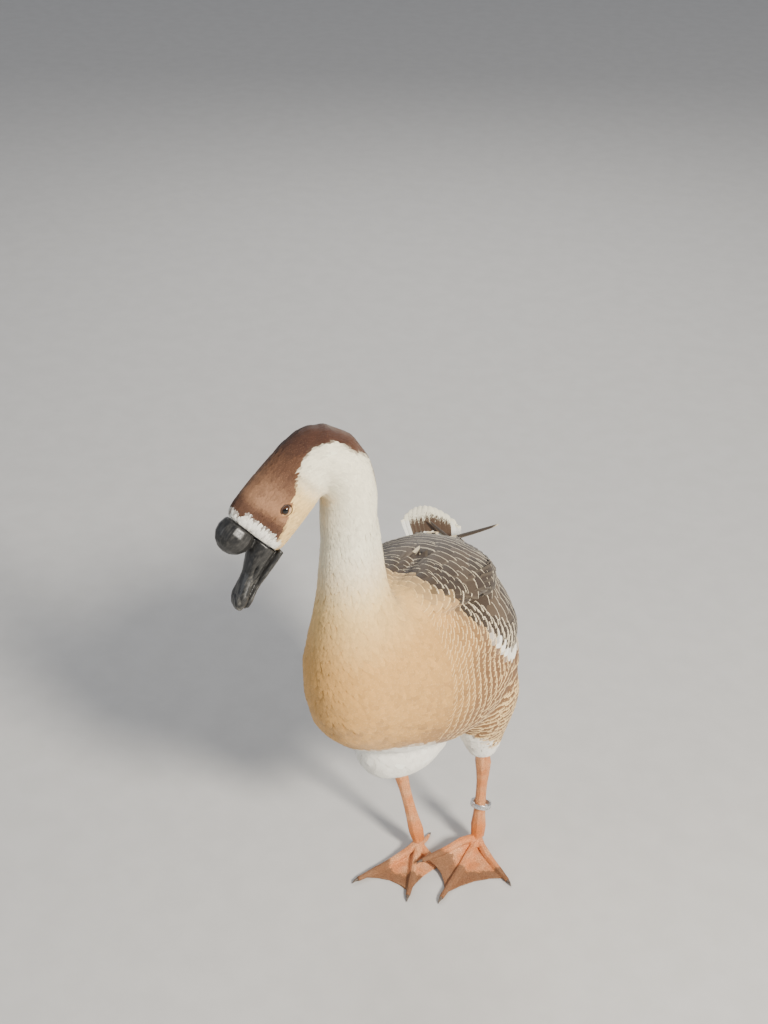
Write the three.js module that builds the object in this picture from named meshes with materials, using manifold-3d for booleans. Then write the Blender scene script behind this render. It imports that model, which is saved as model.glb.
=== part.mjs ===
// A still, life-size domestic goose of the knobbed (swan goose) type, standing on both feet with
// the head bent down to its right.  Millimetres, +Z up, the goose faces -Y and its left is +X.
import * as THREE from "three";
import { mergeVertices } from "three/addons/utils/BufferGeometryUtils.js";
import Module from "manifold-3d";

const wasm = await Module();
wasm.setup();

// ---------------------------------------------------------------- driving dimensions
const GAP = 0.3; // clear space between neighbouring solids
const FINENESS = 0.1; // the most a surface moves when needless edges are dropped
const TAU = 2 * Math.PI;

const BODY_SHIFT = -28; // the trunk leans over the right foot
const BODY_BEND = 0.00105; // sideways curve of the spine: both ends swing to the right
const BODY_BEND_FROM = 40; // y where that curve starts

const NECK_Y = -152; // the upright part of the neck
const NECK_RADIUS = 27.6;
const NECK_TOP = 610; // height where the neck starts to arch over
const NECK_CUTS = [470, 556]; // heights of the cuts across the neck

const HEAD_AT = new THREE.Vector3(-119, -198, 616); // midway between the eyes
const HEAD_TURN = -41.5; // degrees: to the right
const HEAD_NOD = 42; // down
const HEAD_TILT = -16; // crown towards the right
const EYE_OUT = 18.9;
const EYE_RADIUS = 6.4;

const SHANK_RADIUS = 6.5;
const TOE_RADIUS = 4.6;
const HIND_TOE_RADIUS = 3;
const WEB_THICK = 1.8;
const BAND_RADIUS = 12.6;

// ---------------------------------------------------------------- making solids
const V = (x, y, z) => new THREE.Vector3(x, y, z);
const radians = THREE.MathUtils.degToRad;

// Runs smoothly through rows of numbers, from 0 at the first row to 1 at the last.
function smooth(rows) {
  const keys = rows.map((_, i) => i / (rows.length - 1));
  const curve = new THREE.CubicInterpolant(keys, rows.flat(), rows[0].length);
  return (s) => [...curve.evaluate(THREE.MathUtils.clamp(s, 0, 1))];
}

// A closed form with `along` bands of `around` faces and flat ends: pointAt(s, turn) gives its skin.
function loft(pointAt, around, along) {
  const net = new THREE.SphereGeometry(1, around, along + 2);
  const { uv, position } = net.attributes;
  const middle = (s) => {
    const sum = V(0, 0, 0);
    for (let i = 0; i < around; i++) sum.add(pointAt(s, (TAU * i) / around));
    return sum.divideScalar(around);
  };
  const ends = [middle(0), middle(1)];
  for (let i = 0; i < position.count; i++) {
    const row = Math.round((1 - uv.getY(i)) * (along + 2));
    const turn = (Math.round(uv.getX(i) * around) % around) * (TAU / around);
    const inside = row > 0 && row < along + 2;
    const p = inside ? pointAt((row - 1) / along, turn) : ends[row === 0 ? 0 : 1];
    position.setXYZ(i, p.x, p.y, p.z);
  }
  return net;
}

// A geometry as a manifold solid with its faces pointing out, moved by a matrix if one is given.
function solid(geometry, matrix) {
  const bare = geometry.clone();
  bare.deleteAttribute("normal");
  bare.deleteAttribute("uv");
  if (matrix) bare.applyMatrix4(matrix);
  const merged = mergeVertices(bare, 1e-4);
  const made = (order) =>
    new wasm.Manifold(
      new wasm.Mesh({
        numProp: 3,
        vertProperties: merged.attributes.position.array,
        triVerts: Uint32Array.from(merged.index.array, (_, i, all = merged.index.array) => all[i - (i % 3) + order[i % 3]]),
      }),
    );
  const first = made([0, 1, 2]);
  return first.volume() > 0 ? first : made([0, 2, 1]);
}

const joined = (...parts) => parts.reduce((a, b) => a.add(b));
const cutBy = (body, ...cutters) => cutters.reduce((a, b) => a.subtract(b), body);

// The one body of a cut solid that matters: small crumbs that a cut leaves behind are dropped.
const largest = (body) => body.decompose().sort((a, b) => b.volume() - a.volume())[0];

// Everything on the side of a plane that its normal points to, as a big block.
function beyond(point, normal, inset = GAP / 2) {
  const size = 2000;
  const block = new THREE.BoxGeometry(size, size, size);
  const turn = new THREE.Quaternion().setFromUnitVectors(V(0, 0, 1), normal.clone().normalize());
  block.translate(0, 0, size / 2 + inset);
  block.applyQuaternion(turn);
  block.translate(point.x, point.y, point.z);
  return solid(block);
}

// An ellipse's point in a section: up and side are directions, pear widens it below.
function ringPoint(centre, up, side, height, width, turn, pear = 0) {
  const c = Math.cos(turn);
  const wide = width * Math.sin(turn) * (1 - pear * c);
  return centre.clone().addScaledVector(up, height * c).addScaledVector(side, wide);
}

const SIDE = V(1, 0, 0);

// The spine's sideways curve, put on everything that is part of the trunk; it stops at the neck.
function bent(p) {
  p.x += BODY_SHIFT - BODY_BEND * (Math.max(p.y, NECK_Y) - BODY_BEND_FROM) ** 2;
  return p;
}

// A form through ribs in the trunk's middle plane: each rib is [back y, back z, front y, front z, half width, pear].
function ribbed(ribs, around, along, grow = 0) {
  const rib = smooth(ribs);
  return solid(
    loft(
      (s, turn) => {
        const [by, bz, fy, fz, width, pear] = rib(s);
        const up = V(0, by - fy, bz - fz);
        const height = up.length() / 2;
        return bent(
          ringPoint(V(0, (by + fy) / 2, (bz + fz) / 2), up.normalize(), SIDE, height + grow, width + grow, turn, pear),
        );
      },
      around,
      along,
    ),
  );
}

// A tube along a smooth curve through points, with radiusAt(s) = [across, along the other way].
function tube(points, radiusAt, around, along, place = (p) => p) {
  const curve = new THREE.CatmullRomCurve3(points, false, "centripetal");
  const frames = curve.computeFrenetFrames(along, false);
  return loft(
    (s, turn) => {
      const i = Math.round(s * along);
      const [a, b] = radiusAt(s);
      return place(ringPoint(curve.getPointAt(s), frames.normals[i], frames.binormals[i], a, b, turn));
    },
    around,
    along,
  );
}

// ---------------------------------------------------------------- trunk and lower neck
// From the neck's shaft down over the shoulders to the rump.
const TRUNK_RIBS = [
  [NECK_Y + 25, 574, NECK_Y - 25, 572, 25, 0],
  [NECK_Y + 29, 540, NECK_Y - 28.5, 536, 28.5, 0],
  [NECK_Y + 33, 500, NECK_Y - 31, 490, 32.5, 0],
  [NECK_Y + 47, 464, NECK_Y - 36, 442, 41, 0],
  [-72, 444, -193, 390, 54, 0],
  [-25, 432, -183, 334, 65, 0],
  [20, 421, -149, 288, 78, 0.02],
  [60, 406, -94, 242, 93, 0.06],
  [98, 386, -22, 208, 104, 0.12],
  [132, 366, 56, 194, 98, 0.16],
  [162, 350, 116, 210, 79, 0.1],
  [190, 338, 158, 250, 53, 0],
  [212, 331, 194, 288, 34, 0],
  [228, 330, 222, 314, 15, 0],
];
const trunkWhole = (grow) => ribbed(TRUNK_RIBS, 22, 19, grow);

// ---------------------------------------------------------------- head, bill and knob
// Head sections run from the nape to the bill's root: [forward, top, bottom, half width, pear].
const HEAD_SECTIONS = [
  [-76, 14, -10, 10, 0],
  [-68, 24, -19, 19, 0],
  [-50, 30.5, -27, 24, 0],
  [-25, 33, -30, 25, 0.03],
  [0, 34.5, -31, 25, 0.04],
  [20, 35, -31.5, 22.5, 0.05],
  [33, 34.5, -31.5, 19.5, 0.06],
  [40, 31.5, -30, 16, 0.08],
];
const BILL_SECTIONS = [
  [40.3, 0, -27, 15.4],
  [48, -2, -27.5, 14.6],
  [58, -8, -28, 12.6],
  [70, -14.5, -30, 11.4],
  [84, -19.5, -33, 11.6],
  [95, -24, -35.6, 11.4],
  [101, -27.4, -36.4, 8.6],
  [104, -31, -36.2, 3.6],
];
const JAW_SECTIONS = [
  [36, -25, -34, 12],
  [50, -26, -35.4, 11.4],
  [68, -28.5, -36.4, 9.8],
  [84, -32, -38.6, 9.6],
  [95, -34.5, -39.4, 8.6],
  [99.5, -35.6, -38.4, 4],
];

// In the head's own frame the bill points to -y and the crown to +z, as the trunk's does.
function sections(rows, around, along, grow = 0, flat = 1) {
  const at = smooth(rows);
  return loft(
    (s, turn) => {
      const [forward, top, bottom, width, pear = 0] = at(s);
      const up = Math.sign(Math.cos(turn)) * Math.abs(Math.cos(turn)) ** flat;
      const p = V(0, -forward, (top + bottom) / 2 + ((top - bottom) / 2 + grow) * up);
      p.x = (width + grow) * Math.sin(turn) * (1 - pear * Math.cos(turn));
      return p;
    },
    around,
    along,
  );
}

const headPlace = new THREE.Matrix4()
  .makeRotationFromEuler(new THREE.Euler(radians(HEAD_NOD), radians(HEAD_TILT), radians(HEAD_TURN), "ZXY"))
  .setPosition(HEAD_AT);
const inHead = (forward, up, left = 0) => V(left, -forward, up).applyMatrix4(headPlace);

const KNOB_CENTRE = V(0, -49.5, 13.5);
const knobForm = (grow) =>
  new THREE.SphereGeometry(1, 12, 8).scale(16.5 + grow, 18.5 + grow, 19 + grow).translate(...KNOB_CENTRE);
const headForm = (grow) => sections(HEAD_SECTIONS, 16, 9, grow);
const billForm = (grow) => sections(BILL_SECTIONS, 12, 9, grow, 0.8);
const jawForm = sections(JAW_SECTIONS, 10, 6, 0, 0.8);
const eyeForm = (side, grow) =>
  new THREE.SphereGeometry(EYE_RADIUS + grow, 10, 6).translate(side * EYE_OUT, -2, -1);

// ---------------------------------------------------------------- neck
const neckX = bent(V(0, NECK_Y, 0)).x;
const NECK_LINE = [
  V(neckX, NECK_Y, 540),
  V(neckX, NECK_Y, 575),
  V(neckX, NECK_Y, NECK_TOP),
  V(neckX - 10, NECK_Y - 8, NECK_TOP + 34),
  inHead(-52, 2),
  inHead(-28, 1),
];
const archRadii = (s) => {
  const start = -5 * Math.max(0, 1 - s / 0.12);
  return [NECK_RADIUS + s + start, NECK_RADIUS + 0.5 * s + start];
};
const headAndArch = joined(
  solid(tube(NECK_LINE, archRadii, 16, 10)),
  solid(headForm(0), headPlace),
);
const whole = joined(trunkWhole(0), headAndArch);

// A block round the head, from the nape forward and clear of the neck's upright part.
const HEAD_BLOCK = { back: -62, front: 160, low: -31.6, high: 60, half: 60 };
function headBlock(grow) {
  const { back, front, low, high, half } = HEAD_BLOCK;
  const block = new THREE.BoxGeometry(2 * (half + grow), front - back + 2 * grow, high - low + 2 * grow);
  return solid(block.translate(0, -(front + back) / 2, (high + low) / 2), headPlace);
}
const head = largest(headAndArch.intersect(headBlock(0)));
const neckWhole = largest(cutBy(whole, headBlock(GAP)));

const UP = V(0, 0, 1);
const DOWN = V(0, 0, -1);
const [lowCut, highCut] = NECK_CUTS.map((z) => V(0, 0, z));
const neckUpper = neckWhole.intersect(beyond(highCut, UP));
const neckMiddle = neckWhole.intersect(beyond(highCut, DOWN)).intersect(beyond(lowCut, UP));
const body = neckWhole.intersect(beyond(lowCut, DOWN));

const BREAST_CUT = [V(0, -70, 300), V(0, -1, 0.45)];
const RUMP_CUT = [V(0, 120, 300), V(0, 1, 0.25)];
const breast = body.intersect(beyond(...BREAST_CUT));
const rump = body.intersect(beyond(...RUMP_CUT));
const middle = body
  .intersect(beyond(BREAST_CUT[0], BREAST_CUT[1].clone().negate()))
  .intersect(beyond(RUMP_CUT[0], RUMP_CUT[1].clone().negate()));
const bodyGrown = trunkWhole(GAP);

// ---------------------------------------------------------------- belly lobe and thighs
const BELLY_RIBS = [
  [-70, 262, -98, 250, 14, 0],
  [-44, 264, -94, 210, 36, 0],
  [-12, 264, -68, 182, 48, 0],
  [25, 264, -14, 170, 52, 0],
  [60, 262, 50, 170, 50, 0],
  [95, 262, 105, 184, 41, 0],
  [125, 268, 142, 222, 22, 0],
];
const BELLY_SHIFT = -8;
const bellyForm = (grow) => ribbed(BELLY_RIBS, 14, 8, grow).translate([BELLY_SHIFT, 0, 0]);
const belly = largest(cutBy(bellyForm(0), bodyGrown));
const bellyGrown = bellyForm(GAP);

// A leg's points from the hip to the ankle: hip, knee of the feathered part, hock, ankle.
const LEGS = {
  left: { hip: V(30, 38, 300), cuff: V(41, 34, 156), hock: V(42, 38, 128), ankle: V(39, 37, 19) },
  right: { hip: V(-84, 26, 300), cuff: V(-62, 16, 144), hock: V(-55, 17, 122), ankle: V(-29, 12, 19) },
};
// A thigh's half widths from the hip to the cuff.
const THIGH_SHAPE = smooth([
  [20, 20],
  [50, 44],
  [54, 46],
  [45, 38],
  [29, 26],
  [15.5, 15],
]);

const thighForm = ({ hip, cuff }) => solid(tube([hip, hip.clone().lerp(cuff, 0.5), cuff], THIGH_SHAPE, 12, 6));

// The bare shank: thick at the hock and the ankle, oval between them.
function shankForm({ cuff, hock, ankle }, grow = 0) {
  const start = cuff.clone().lerp(hock, -0.55);
  const shape = smooth([
    [7.6, 8],
    [8.4, 9],
    [9.8, 10.2],
    [7.4, 7.8],
    [SHANK_RADIUS, 7.2],
    [SHANK_RADIUS, 7.2],
    [7.2, 8],
    [9.4, 9.6],
    [8.2, 7.6],
  ]);
  const line = [start, cuff, hock, hock.clone().lerp(ankle, 0.4), hock.clone().lerp(ankle, 0.75), ankle];
  return tube(line, (s) => shape(s).map((r) => r + grow), 8, 9);
}

// ---------------------------------------------------------------- feet
// Toes run from the ankle; lift raises a toe that lies on the other foot.
const FEET = {
  left: {
    ankle: LEGS.left.ankle,
    toes: {
      inner: { tip: V(-18, -18, 0), lift: 12 },
      middle: { tip: V(15, -60, 0), lift: 0 },
      outer: { tip: V(86, -14, 0), lift: 0 },
      hind: { tip: V(30, 64, 0), lift: 0 },
    },
  },
  right: {
    ankle: LEGS.right.ankle,
    toes: {
      inner: { tip: V(6, -10, 0), lift: 0 },
      middle: { tip: V(-24, -66, 0), lift: 0 },
      outer: { tip: V(-88, -55, 0), lift: 0 },
      hind: { tip: V(-22, 40, 0), lift: 0 },
    },
  },
};
const KNUCKLES = 3;
const onFloor = (p) => p.setZ(Math.max(p.z, 0));

// A toe's middle line: from the ankle down to the ground and out to the tip.
function toeLine({ ankle }, { tip, lift }, name) {
  const hind = name === "hind";
  const thick = hind ? HIND_TOE_RADIUS : TOE_RADIUS;
  const on = (t, height) => ankle.clone().lerp(tip, t).setZ(lift + thick * height);
  const start = ankle.clone().lerp(tip, 0.02).setZ(ankle.z - 5);
  const line = [start, on(hind ? 0.4 : 0.22, hind ? 1.5 : 1.6), on(0.6, 0.78), on(1, 0.7)];
  return new THREE.CatmullRomCurve3(line, false, "centripetal");
}

// Toes swell at each joint and taper to the claw.
function toeForm(foot, name, grow = 0) {
  const thick = name === "hind" ? HIND_TOE_RADIUS : TOE_RADIUS;
  const line = toeLine(foot, foot.toes[name], name);
  const sides = 6;
  return loft(
    (s, turn) => {
      const forward = line.getTangentAt(s);
      const across = V(forward.y, -forward.x, 0).normalize();
      const swell = 0.09 * Math.cos(s * KNUCKLES * TAU);
      const radius = thick * (1.25 - 0.42 * s + swell) * (s > 0.97 ? 0.7 : 1) + grow;
      const up = across.clone().cross(forward);
      return onFloor(ringPoint(line.getPointAt(s), up, across, radius, radius, turn + Math.PI / sides));
    },
    sides,
    7,
  );
}

// A claw hooks down from the toe's tip.
function clawForm(foot, name) {
  const line = toeLine(foot, foot.toes[name], name);
  const size = name === "hind" ? 1.7 : 2.5;
  const root = line.getPoint(1);
  const out = line.getTangent(1).setZ(0).normalize();
  const from = root.clone().addScaledVector(out, 0.4);
  const bendUp = from.clone().addScaledVector(out, size * 1.4).setZ(from.z + 0.2);
  const point = from.clone().addScaledVector(out, size * 3.2).setZ(from.z - size * 0.9);
  return tube([from, bendUp, point], (s) => [size * (1.05 - 0.85 * s), size * (1 - 0.82 * s)], 5, 2, onFloor);
}

// The web between two toes, with its free edge curved in.
function webForm(foot, [a, b], grow = 0) {
  const lines = [toeLine(foot, foot.toes[a], a), toeLine(foot, foot.toes[b], b)];
  const sheet = new THREE.BoxGeometry(1, 1, 1, 4, 4, 1);
  const { position } = sheet.attributes;
  for (let i = 0; i < position.count; i++) {
    const across = position.getX(i) + 0.5;
    const along = position.getY(i) + 0.5;
    const reach = 0.12 + (0.8 - 0.09 * 4 * across * (1 - across)) * along;
    const [p, q] = lines.map((line) => line.getPoint(reach));
    const at = p.lerp(q, across);
    const sag = 2.4 * 4 * across * (1 - across);
    const under = Math.max(at.z - 2.6 - sag, 0);
    at.z = position.getZ(i) > 0 ? under + WEB_THICK + grow : under - grow;
    position.setXYZ(i, at.x, at.y, at.z);
  }
  return sheet;
}

// ---------------------------------------------------------------- wings
// A folded wing's sections from the shoulder back: [y, out, up, half height, half thickness, lean].
const COVERT_ROWS = [
  [-84, 56, 388, 12, 6, 0.5],
  [-66, 63, 384, 23, 10, 0.5],
  [-32, 71, 374, 33, 13, 0.5],
  [8, 78, 362, 38, 14, 0.5],
  [50, 79, 350, 39, 13, 0.5],
  [92, 71, 341, 34, 12, 0.5],
  [128, 59, 336, 26, 10, 0.5],
  [154, 48, 336, 14, 6, 0.5],
];
const SCAPULAR_ROWS = [
  [-104, 26, 446, 12, 6, 1.05],
  [-84, 34, 444, 26, 10, 1.1],
  [-50, 38, 437, 36, 13, 1.15],
  [0, 40, 425, 42, 14, 1.15],
  [50, 38, 409, 42, 14, 1.15],
  [95, 33, 388, 36, 12, 1.1],
  [130, 28, 370, 26, 9, 1.05],
  [156, 24, 356, 13, 5, 1],
];
const SHIELD_SQUARE = 0.72; // under 1 makes a section's edges blunt

// A shield of feathers on the trunk's side; lean turns it from upright (0) to lying flat (pi / 2).
function shieldForm(rows, side, around, along, grow = 0) {
  const at = smooth(rows);
  return solid(
    loft(
      (s, turn) => {
        const [y, out, z, height, thick, lean] = at(s);
        const up = V(-Math.sin(lean), 0, Math.cos(lean));
        const outward = V(Math.cos(lean), 0, Math.sin(lean));
        const [c, n] = [Math.cos(turn), Math.sin(turn)].map((v) => Math.sign(v) * Math.abs(v) ** SHIELD_SQUARE);
        const p = V(out, y, z).addScaledVector(up, (height + grow) * c).addScaledVector(outward, (thick + grow) * n);
        p.x *= side;
        return bent(p);
      },
      around,
      along,
    ),
  );
}

// A bundle of long feathers: a flat blade from the wing to its tip.
function bladeForm(points, widths, thick, along, grow = 0) {
  const curve = new THREE.CatmullRomCurve3(points, false, "centripetal");
  const width = smooth(widths.map((w) => [w]));
  return solid(
    loft(
      (s, turn) => {
        const forward = curve.getTangentAt(s);
        const across = V(0, 0, 1).cross(forward).normalize();
        const up = forward.clone().cross(across);
        return bent(ringPoint(curve.getPointAt(s), up, across, thick * (1 - 0.5 * s) + grow, width(s)[0] + grow, turn));
      },
      8,
      along,
    ),
  );
}

const TERTIAL = { from: [58, 60, 374], over: [46, 122, 358], tip: [31, 180, 328] };
const PRIMARY = {
  left: [V(60, 110, 340), V(42, 160, 336), V(18, 204, 334), V(-4, 232, 337)],
  right: [V(-60, 110, 342), V(-32, 158, 340), V(24, 194, 344), V(80, 214, 357)],
};

function wing(side, name) {
  const scapulars = shieldForm(SCAPULAR_ROWS, side, 10, 8);
  const scapularsGrown = shieldForm(SCAPULAR_ROWS, side, 10, 8, GAP);
  const coverts = cutBy(shieldForm(COVERT_ROWS, side, 10, 8), scapularsGrown);
  const covertsGrown = shieldForm(COVERT_ROWS, side, 10, 8, GAP);
  const tertialLine = Object.values(TERTIAL).map(([x, y, z]) => V(side * x, y, z));
  const tertials = bladeForm(tertialLine, [22, 27, 9], 7, 5);
  const tertialsGrown = bladeForm(tertialLine, [22, 27, 9], 7, 5, GAP);
  const primaries = bladeForm(PRIMARY[name], [17, 15, 11, 3], 5, 7);
  return { scapulars, scapularsGrown, coverts, covertsGrown, tertials, tertialsGrown, primaries };
}

// ---------------------------------------------------------------- tail
const TAIL_ROWS = [
  [150, 314, 32, 16],
  [185, 316, 36, 13],
  [215, 323, 37, 8],
  [240, 332, 36, 4.5],
  [256, 338, 31, 2.4],
  [262, 340, 20, 1.6],
];
const TAIL_TWIST = 0; // how far the fan swings further than the spine
const tailAt = smooth(TAIL_ROWS);
const tailForm = (grow) =>
  solid(
    loft(
      (s, turn) => {
        const [y, z, width, thick] = tailAt(s);
        const x = (width + grow) * Math.sin(turn);
        const dome = -0.004 * x * x;
        return bent(V(x + TAIL_TWIST * (y - 150), y, z + dome + (thick + grow) * Math.cos(turn)));
      },
      16,
      6,
    ),
  );

// ---------------------------------------------------------------- the goose
const goose = new THREE.Group();
goose.name = "goose";

function add(name, body, colour, roughness, group = goose) {
  const { vertProperties, triVerts, numProp } = largest(body.simplify(FINENESS)).getMesh();
  const positions = new Float32Array((vertProperties.length / numProp) * 3);
  for (let i = 0; i * numProp < vertProperties.length; i++)
    positions.set(vertProperties.subarray(i * numProp, i * numProp + 3), i * 3);
  const geometry = new THREE.BufferGeometry();
  geometry.setAttribute("position", new THREE.BufferAttribute(positions, 3));
  geometry.setIndex(new THREE.BufferAttribute(triVerts, 1));
  geometry.computeVertexNormals();
  const mesh = new THREE.Mesh(geometry, new THREE.MeshStandardMaterial({ color: colour, roughness, metalness: 0 }));
  mesh.name = name;
  group.add(mesh);
  return mesh;
}

const COLOURS = {
  cream: 0xe3c596,
  white: 0xf1ece0,
  crown: 0x6b4327,
  back: 0x4a3d34,
  horn: 0x1c1a1a,
  leg: 0xd9793f,
  claw: 0x3a302a,
  eye: 0x2a1a10,
  band: 0xaab4bf,
};

// head
const eyes = { left: 1, right: -1 };
const onHead = (geometry) => solid(geometry, headPlace);
const headGrown = onHead(headForm(GAP));
const sockets = Object.values(eyes).map((side) => onHead(eyeForm(side, GAP)));
const knob = largest(cutBy(onHead(knobForm(0)), onHead(headForm(2 * GAP))));
const billUpper = largest(cutBy(onHead(billForm(0)), onHead(knobForm(GAP)), headGrown));
add("head", cutBy(head, ...sockets), COLOURS.crown, 0.8);
add("knob", knob, COLOURS.horn, 0.4);
add("bill_upper", billUpper, COLOURS.horn, 0.45);
add("bill_lower", largest(cutBy(onHead(jawForm), onHead(billForm(GAP)), headGrown)), COLOURS.horn, 0.45);
for (const [name, side] of Object.entries(eyes))
  add(`eye_${name}`, onHead(eyeForm(side, 0)), COLOURS.eye, 0.1);

add("neck_upper", neckUpper, COLOURS.white, 0.85);
add("neck_middle", neckMiddle, COLOURS.white, 0.85);
add("breast", breast, COLOURS.cream, 0.85);

const wings = { left: wing(1, "left"), right: wing(-1, "right") };
const tail = largest(cutBy(tailForm(0), bodyGrown));
const tailGrown = tailForm(GAP);
const wingCutters = [bodyGrown];

add("trunk", middle, COLOURS.cream, 0.85);
add("rump", rump, COLOURS.white, 0.85);
add("belly", belly, COLOURS.white, 0.9);
add("tail", tail, COLOURS.white, 0.8);

for (const [name, w] of Object.entries(wings)) {
  const other = wings[name === "left" ? "right" : "left"];
  const scapulars = name === "left" ? w.scapulars : cutBy(w.scapulars, other.scapularsGrown);
  add(`wing_${name}_scapulars`, largest(cutBy(scapulars, ...wingCutters)), COLOURS.back, 0.8);
  add(`wing_${name}_coverts`, largest(cutBy(w.coverts, ...wingCutters)), COLOURS.back, 0.8);
  const tertials = cutBy(w.tertials, ...wingCutters, w.scapularsGrown, w.covertsGrown, other.scapularsGrown);
  add(`wing_${name}_tertials`, largest(tertials), COLOURS.back, 0.8);
  const primaries = cutBy(w.primaries, ...wingCutters, w.scapularsGrown, w.covertsGrown, w.tertialsGrown, other.tertialsGrown, tailGrown);
  add(`wing_${name}_primaries`, largest(name === "left" ? primaries : primaries), COLOURS.back, 0.8);
}

for (const [name, leg] of Object.entries(LEGS)) {
  const foot = FEET[name];
  const shankGrown = solid(shankForm(leg, GAP));
  const toes = Object.keys(foot.toes);
  const front = toes.filter((toe) => toe !== "hind");
  const thigh = largest(cutBy(thighForm(leg), bodyGrown, bellyGrown, shankGrown));
  add(`thigh_${name}`, thigh, COLOURS.white, 0.9);
  add(`shank_${name}`, solid(shankForm(leg)), COLOURS.leg, 0.6);
  const made = {};
  for (const toe of toes) {
    const earlier = Object.keys(made).map((done) => solid(toeForm(foot, done, GAP)));
    made[toe] = largest(cutBy(solid(toeForm(foot, toe)), shankGrown, ...earlier));
    add(`toe_${name}_${toe}`, made[toe], COLOURS.leg, 0.6);
    const claw = cutBy(solid(clawForm(foot, toe)), solid(toeForm(foot, toe, GAP)));
    add(`claw_${name}_${toe}`, largest(claw), COLOURS.claw, 0.5);
  }
  const cutters = [shankGrown, ...front.map((toe) => solid(toeForm(foot, toe, GAP)))];
  for (const pair of [["inner", "middle"], ["middle", "outer"]])
    add(`web_${name}_${pair[0]}`, largest(cutBy(solid(webForm(foot, pair)), ...cutters)), COLOURS.leg, 0.6);
}

// A loose ring hangs tilted on the left shank.
const ring = new THREE.LatheGeometry(
  [
    new THREE.Vector2(BAND_RADIUS - 2, -3),
    new THREE.Vector2(BAND_RADIUS, -3),
    new THREE.Vector2(BAND_RADIUS, 3),
    new THREE.Vector2(BAND_RADIUS - 2, 3),
    new THREE.Vector2(BAND_RADIUS - 2, -3),
  ],
  14,
);
ring.rotateX(Math.PI / 2);
const band = add("leg_band", solid(ring), COLOURS.band, 0.4);
band.position.copy(LEGS.left.hock.clone().lerp(LEGS.left.ankle, 0.53)).add(V(1, -0.4, 0));
band.rotation.set(-0.34, 0.08, 0);

// The floor is z = 0 and the origin is under the middle of the whole goose.
const middleOf = new THREE.Box3().setFromObject(goose, true).getCenter(V(0, 0, 0)).setZ(0);
for (const mesh of goose.children) mesh.position.sub(middleOf);

export default goose;
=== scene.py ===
"""A life-size domestic goose: one skin, a coat of laid vanes, and the bare parts."""

import math
from types import SimpleNamespace

import bmesh
import bpy
import numpy as np
from mathutils import Matrix, Vector, noise
from mathutils.bvhtree import BVHTree
from mathutils.kdtree import KDTree


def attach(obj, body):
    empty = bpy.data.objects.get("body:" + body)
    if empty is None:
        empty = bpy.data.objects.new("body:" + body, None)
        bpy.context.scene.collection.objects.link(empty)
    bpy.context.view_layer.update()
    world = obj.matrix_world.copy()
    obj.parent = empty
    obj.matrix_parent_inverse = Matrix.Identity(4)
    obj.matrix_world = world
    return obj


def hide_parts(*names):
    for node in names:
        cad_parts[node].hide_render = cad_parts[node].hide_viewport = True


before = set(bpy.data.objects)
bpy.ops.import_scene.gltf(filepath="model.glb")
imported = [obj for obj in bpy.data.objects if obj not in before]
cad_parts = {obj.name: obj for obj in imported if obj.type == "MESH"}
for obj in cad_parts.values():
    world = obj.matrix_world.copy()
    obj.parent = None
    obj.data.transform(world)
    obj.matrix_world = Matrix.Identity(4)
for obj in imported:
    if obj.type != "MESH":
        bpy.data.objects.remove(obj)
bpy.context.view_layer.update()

MM = .001
ORIGIN = np.array((38.7785, -5.2416, 0))    # where the sizes below are told from, in the shared frame
SIDES = (("left", 1), ("right", -1))
dice = np.random.default_rng(11)


# ---- places, in millimetres

BODY_X, BODY_BEND, BEND_Y = -28, .00105, 40    # the body's middle, and how it bends away from there
NECK_AXIS = (-66.7, -152)


def at(*points):
    """Places told in millimetres, in the shared frame's metres."""
    return (np.asarray(points, float) + ORIGIN) * MM


def told(points):
    """Places in the shared frame, told back in millimetres."""
    return np.asarray(points) / MM - ORIGIN


def middle_of(y):
    """How far left the body's middle is."""
    return BODY_X - BODY_BEND * (np.maximum(y, NECK_AXIS[1]) - BEND_Y) ** 2


def bent(x, y, z):
    """A place told from the body's middle, which bends to its right ahead and behind."""
    return (x + middle_of(y), y, z)


HEAD = Matrix.Translation(at((-119, -198, 616))[0])
for turn_axis, degrees in (("Z", -41.5), ("X", 42), ("Y", -16)):
    HEAD = HEAD @ Matrix.Rotation(math.radians(degrees), 4, turn_axis)


def in_head(forward, up, left=0):
    """A place on the head, told from its middle, in the shared frame."""
    return np.array(HEAD @ Vector((left * MM, -forward * MM, up * MM)))


def on_head(points):
    """How far forward, up and left of the head's middle each place is, in millimetres."""
    turned = np.asarray(points) - np.array(HEAD.translation)
    side, back, up = (turned @ np.array(HEAD.to_3x3()) / MM).T
    return -back, up, side


def smooth(low, high, value):
    """0 below low, 1 above high, and an even curve between."""
    part = np.clip((value - low) / (high - low), 0, 1)
    return part * part * (3 - 2 * part)


def read(value, stops):
    """Reads a value off a table of (place, value) stops."""
    places, values = zip(*stops)
    return np.interp(value, places, values)


def unit(vectors):
    return vectors / np.maximum(np.linalg.norm(vectors, axis=-1, keepdims=True), 1e-12)


def distances(line):
    """How far along a line each of its points is."""
    return np.concatenate(([0], np.cumsum(np.linalg.norm(np.diff(line, axis=0), axis=1))))


def on_line(line, marks, wanted):
    """Points on a line at the wanted marks; each of its own points has a mark."""
    return np.column_stack([np.interp(wanted, marks, line[:, axis]) for axis in range(3)])


def speckle(points, size):
    """Soft noise between -1 and 1, in lumps about as large as size millimetres."""
    scale = 1 / (size * MM)
    return np.array([noise.noise(Vector(point) * scale) for point in points])


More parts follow.
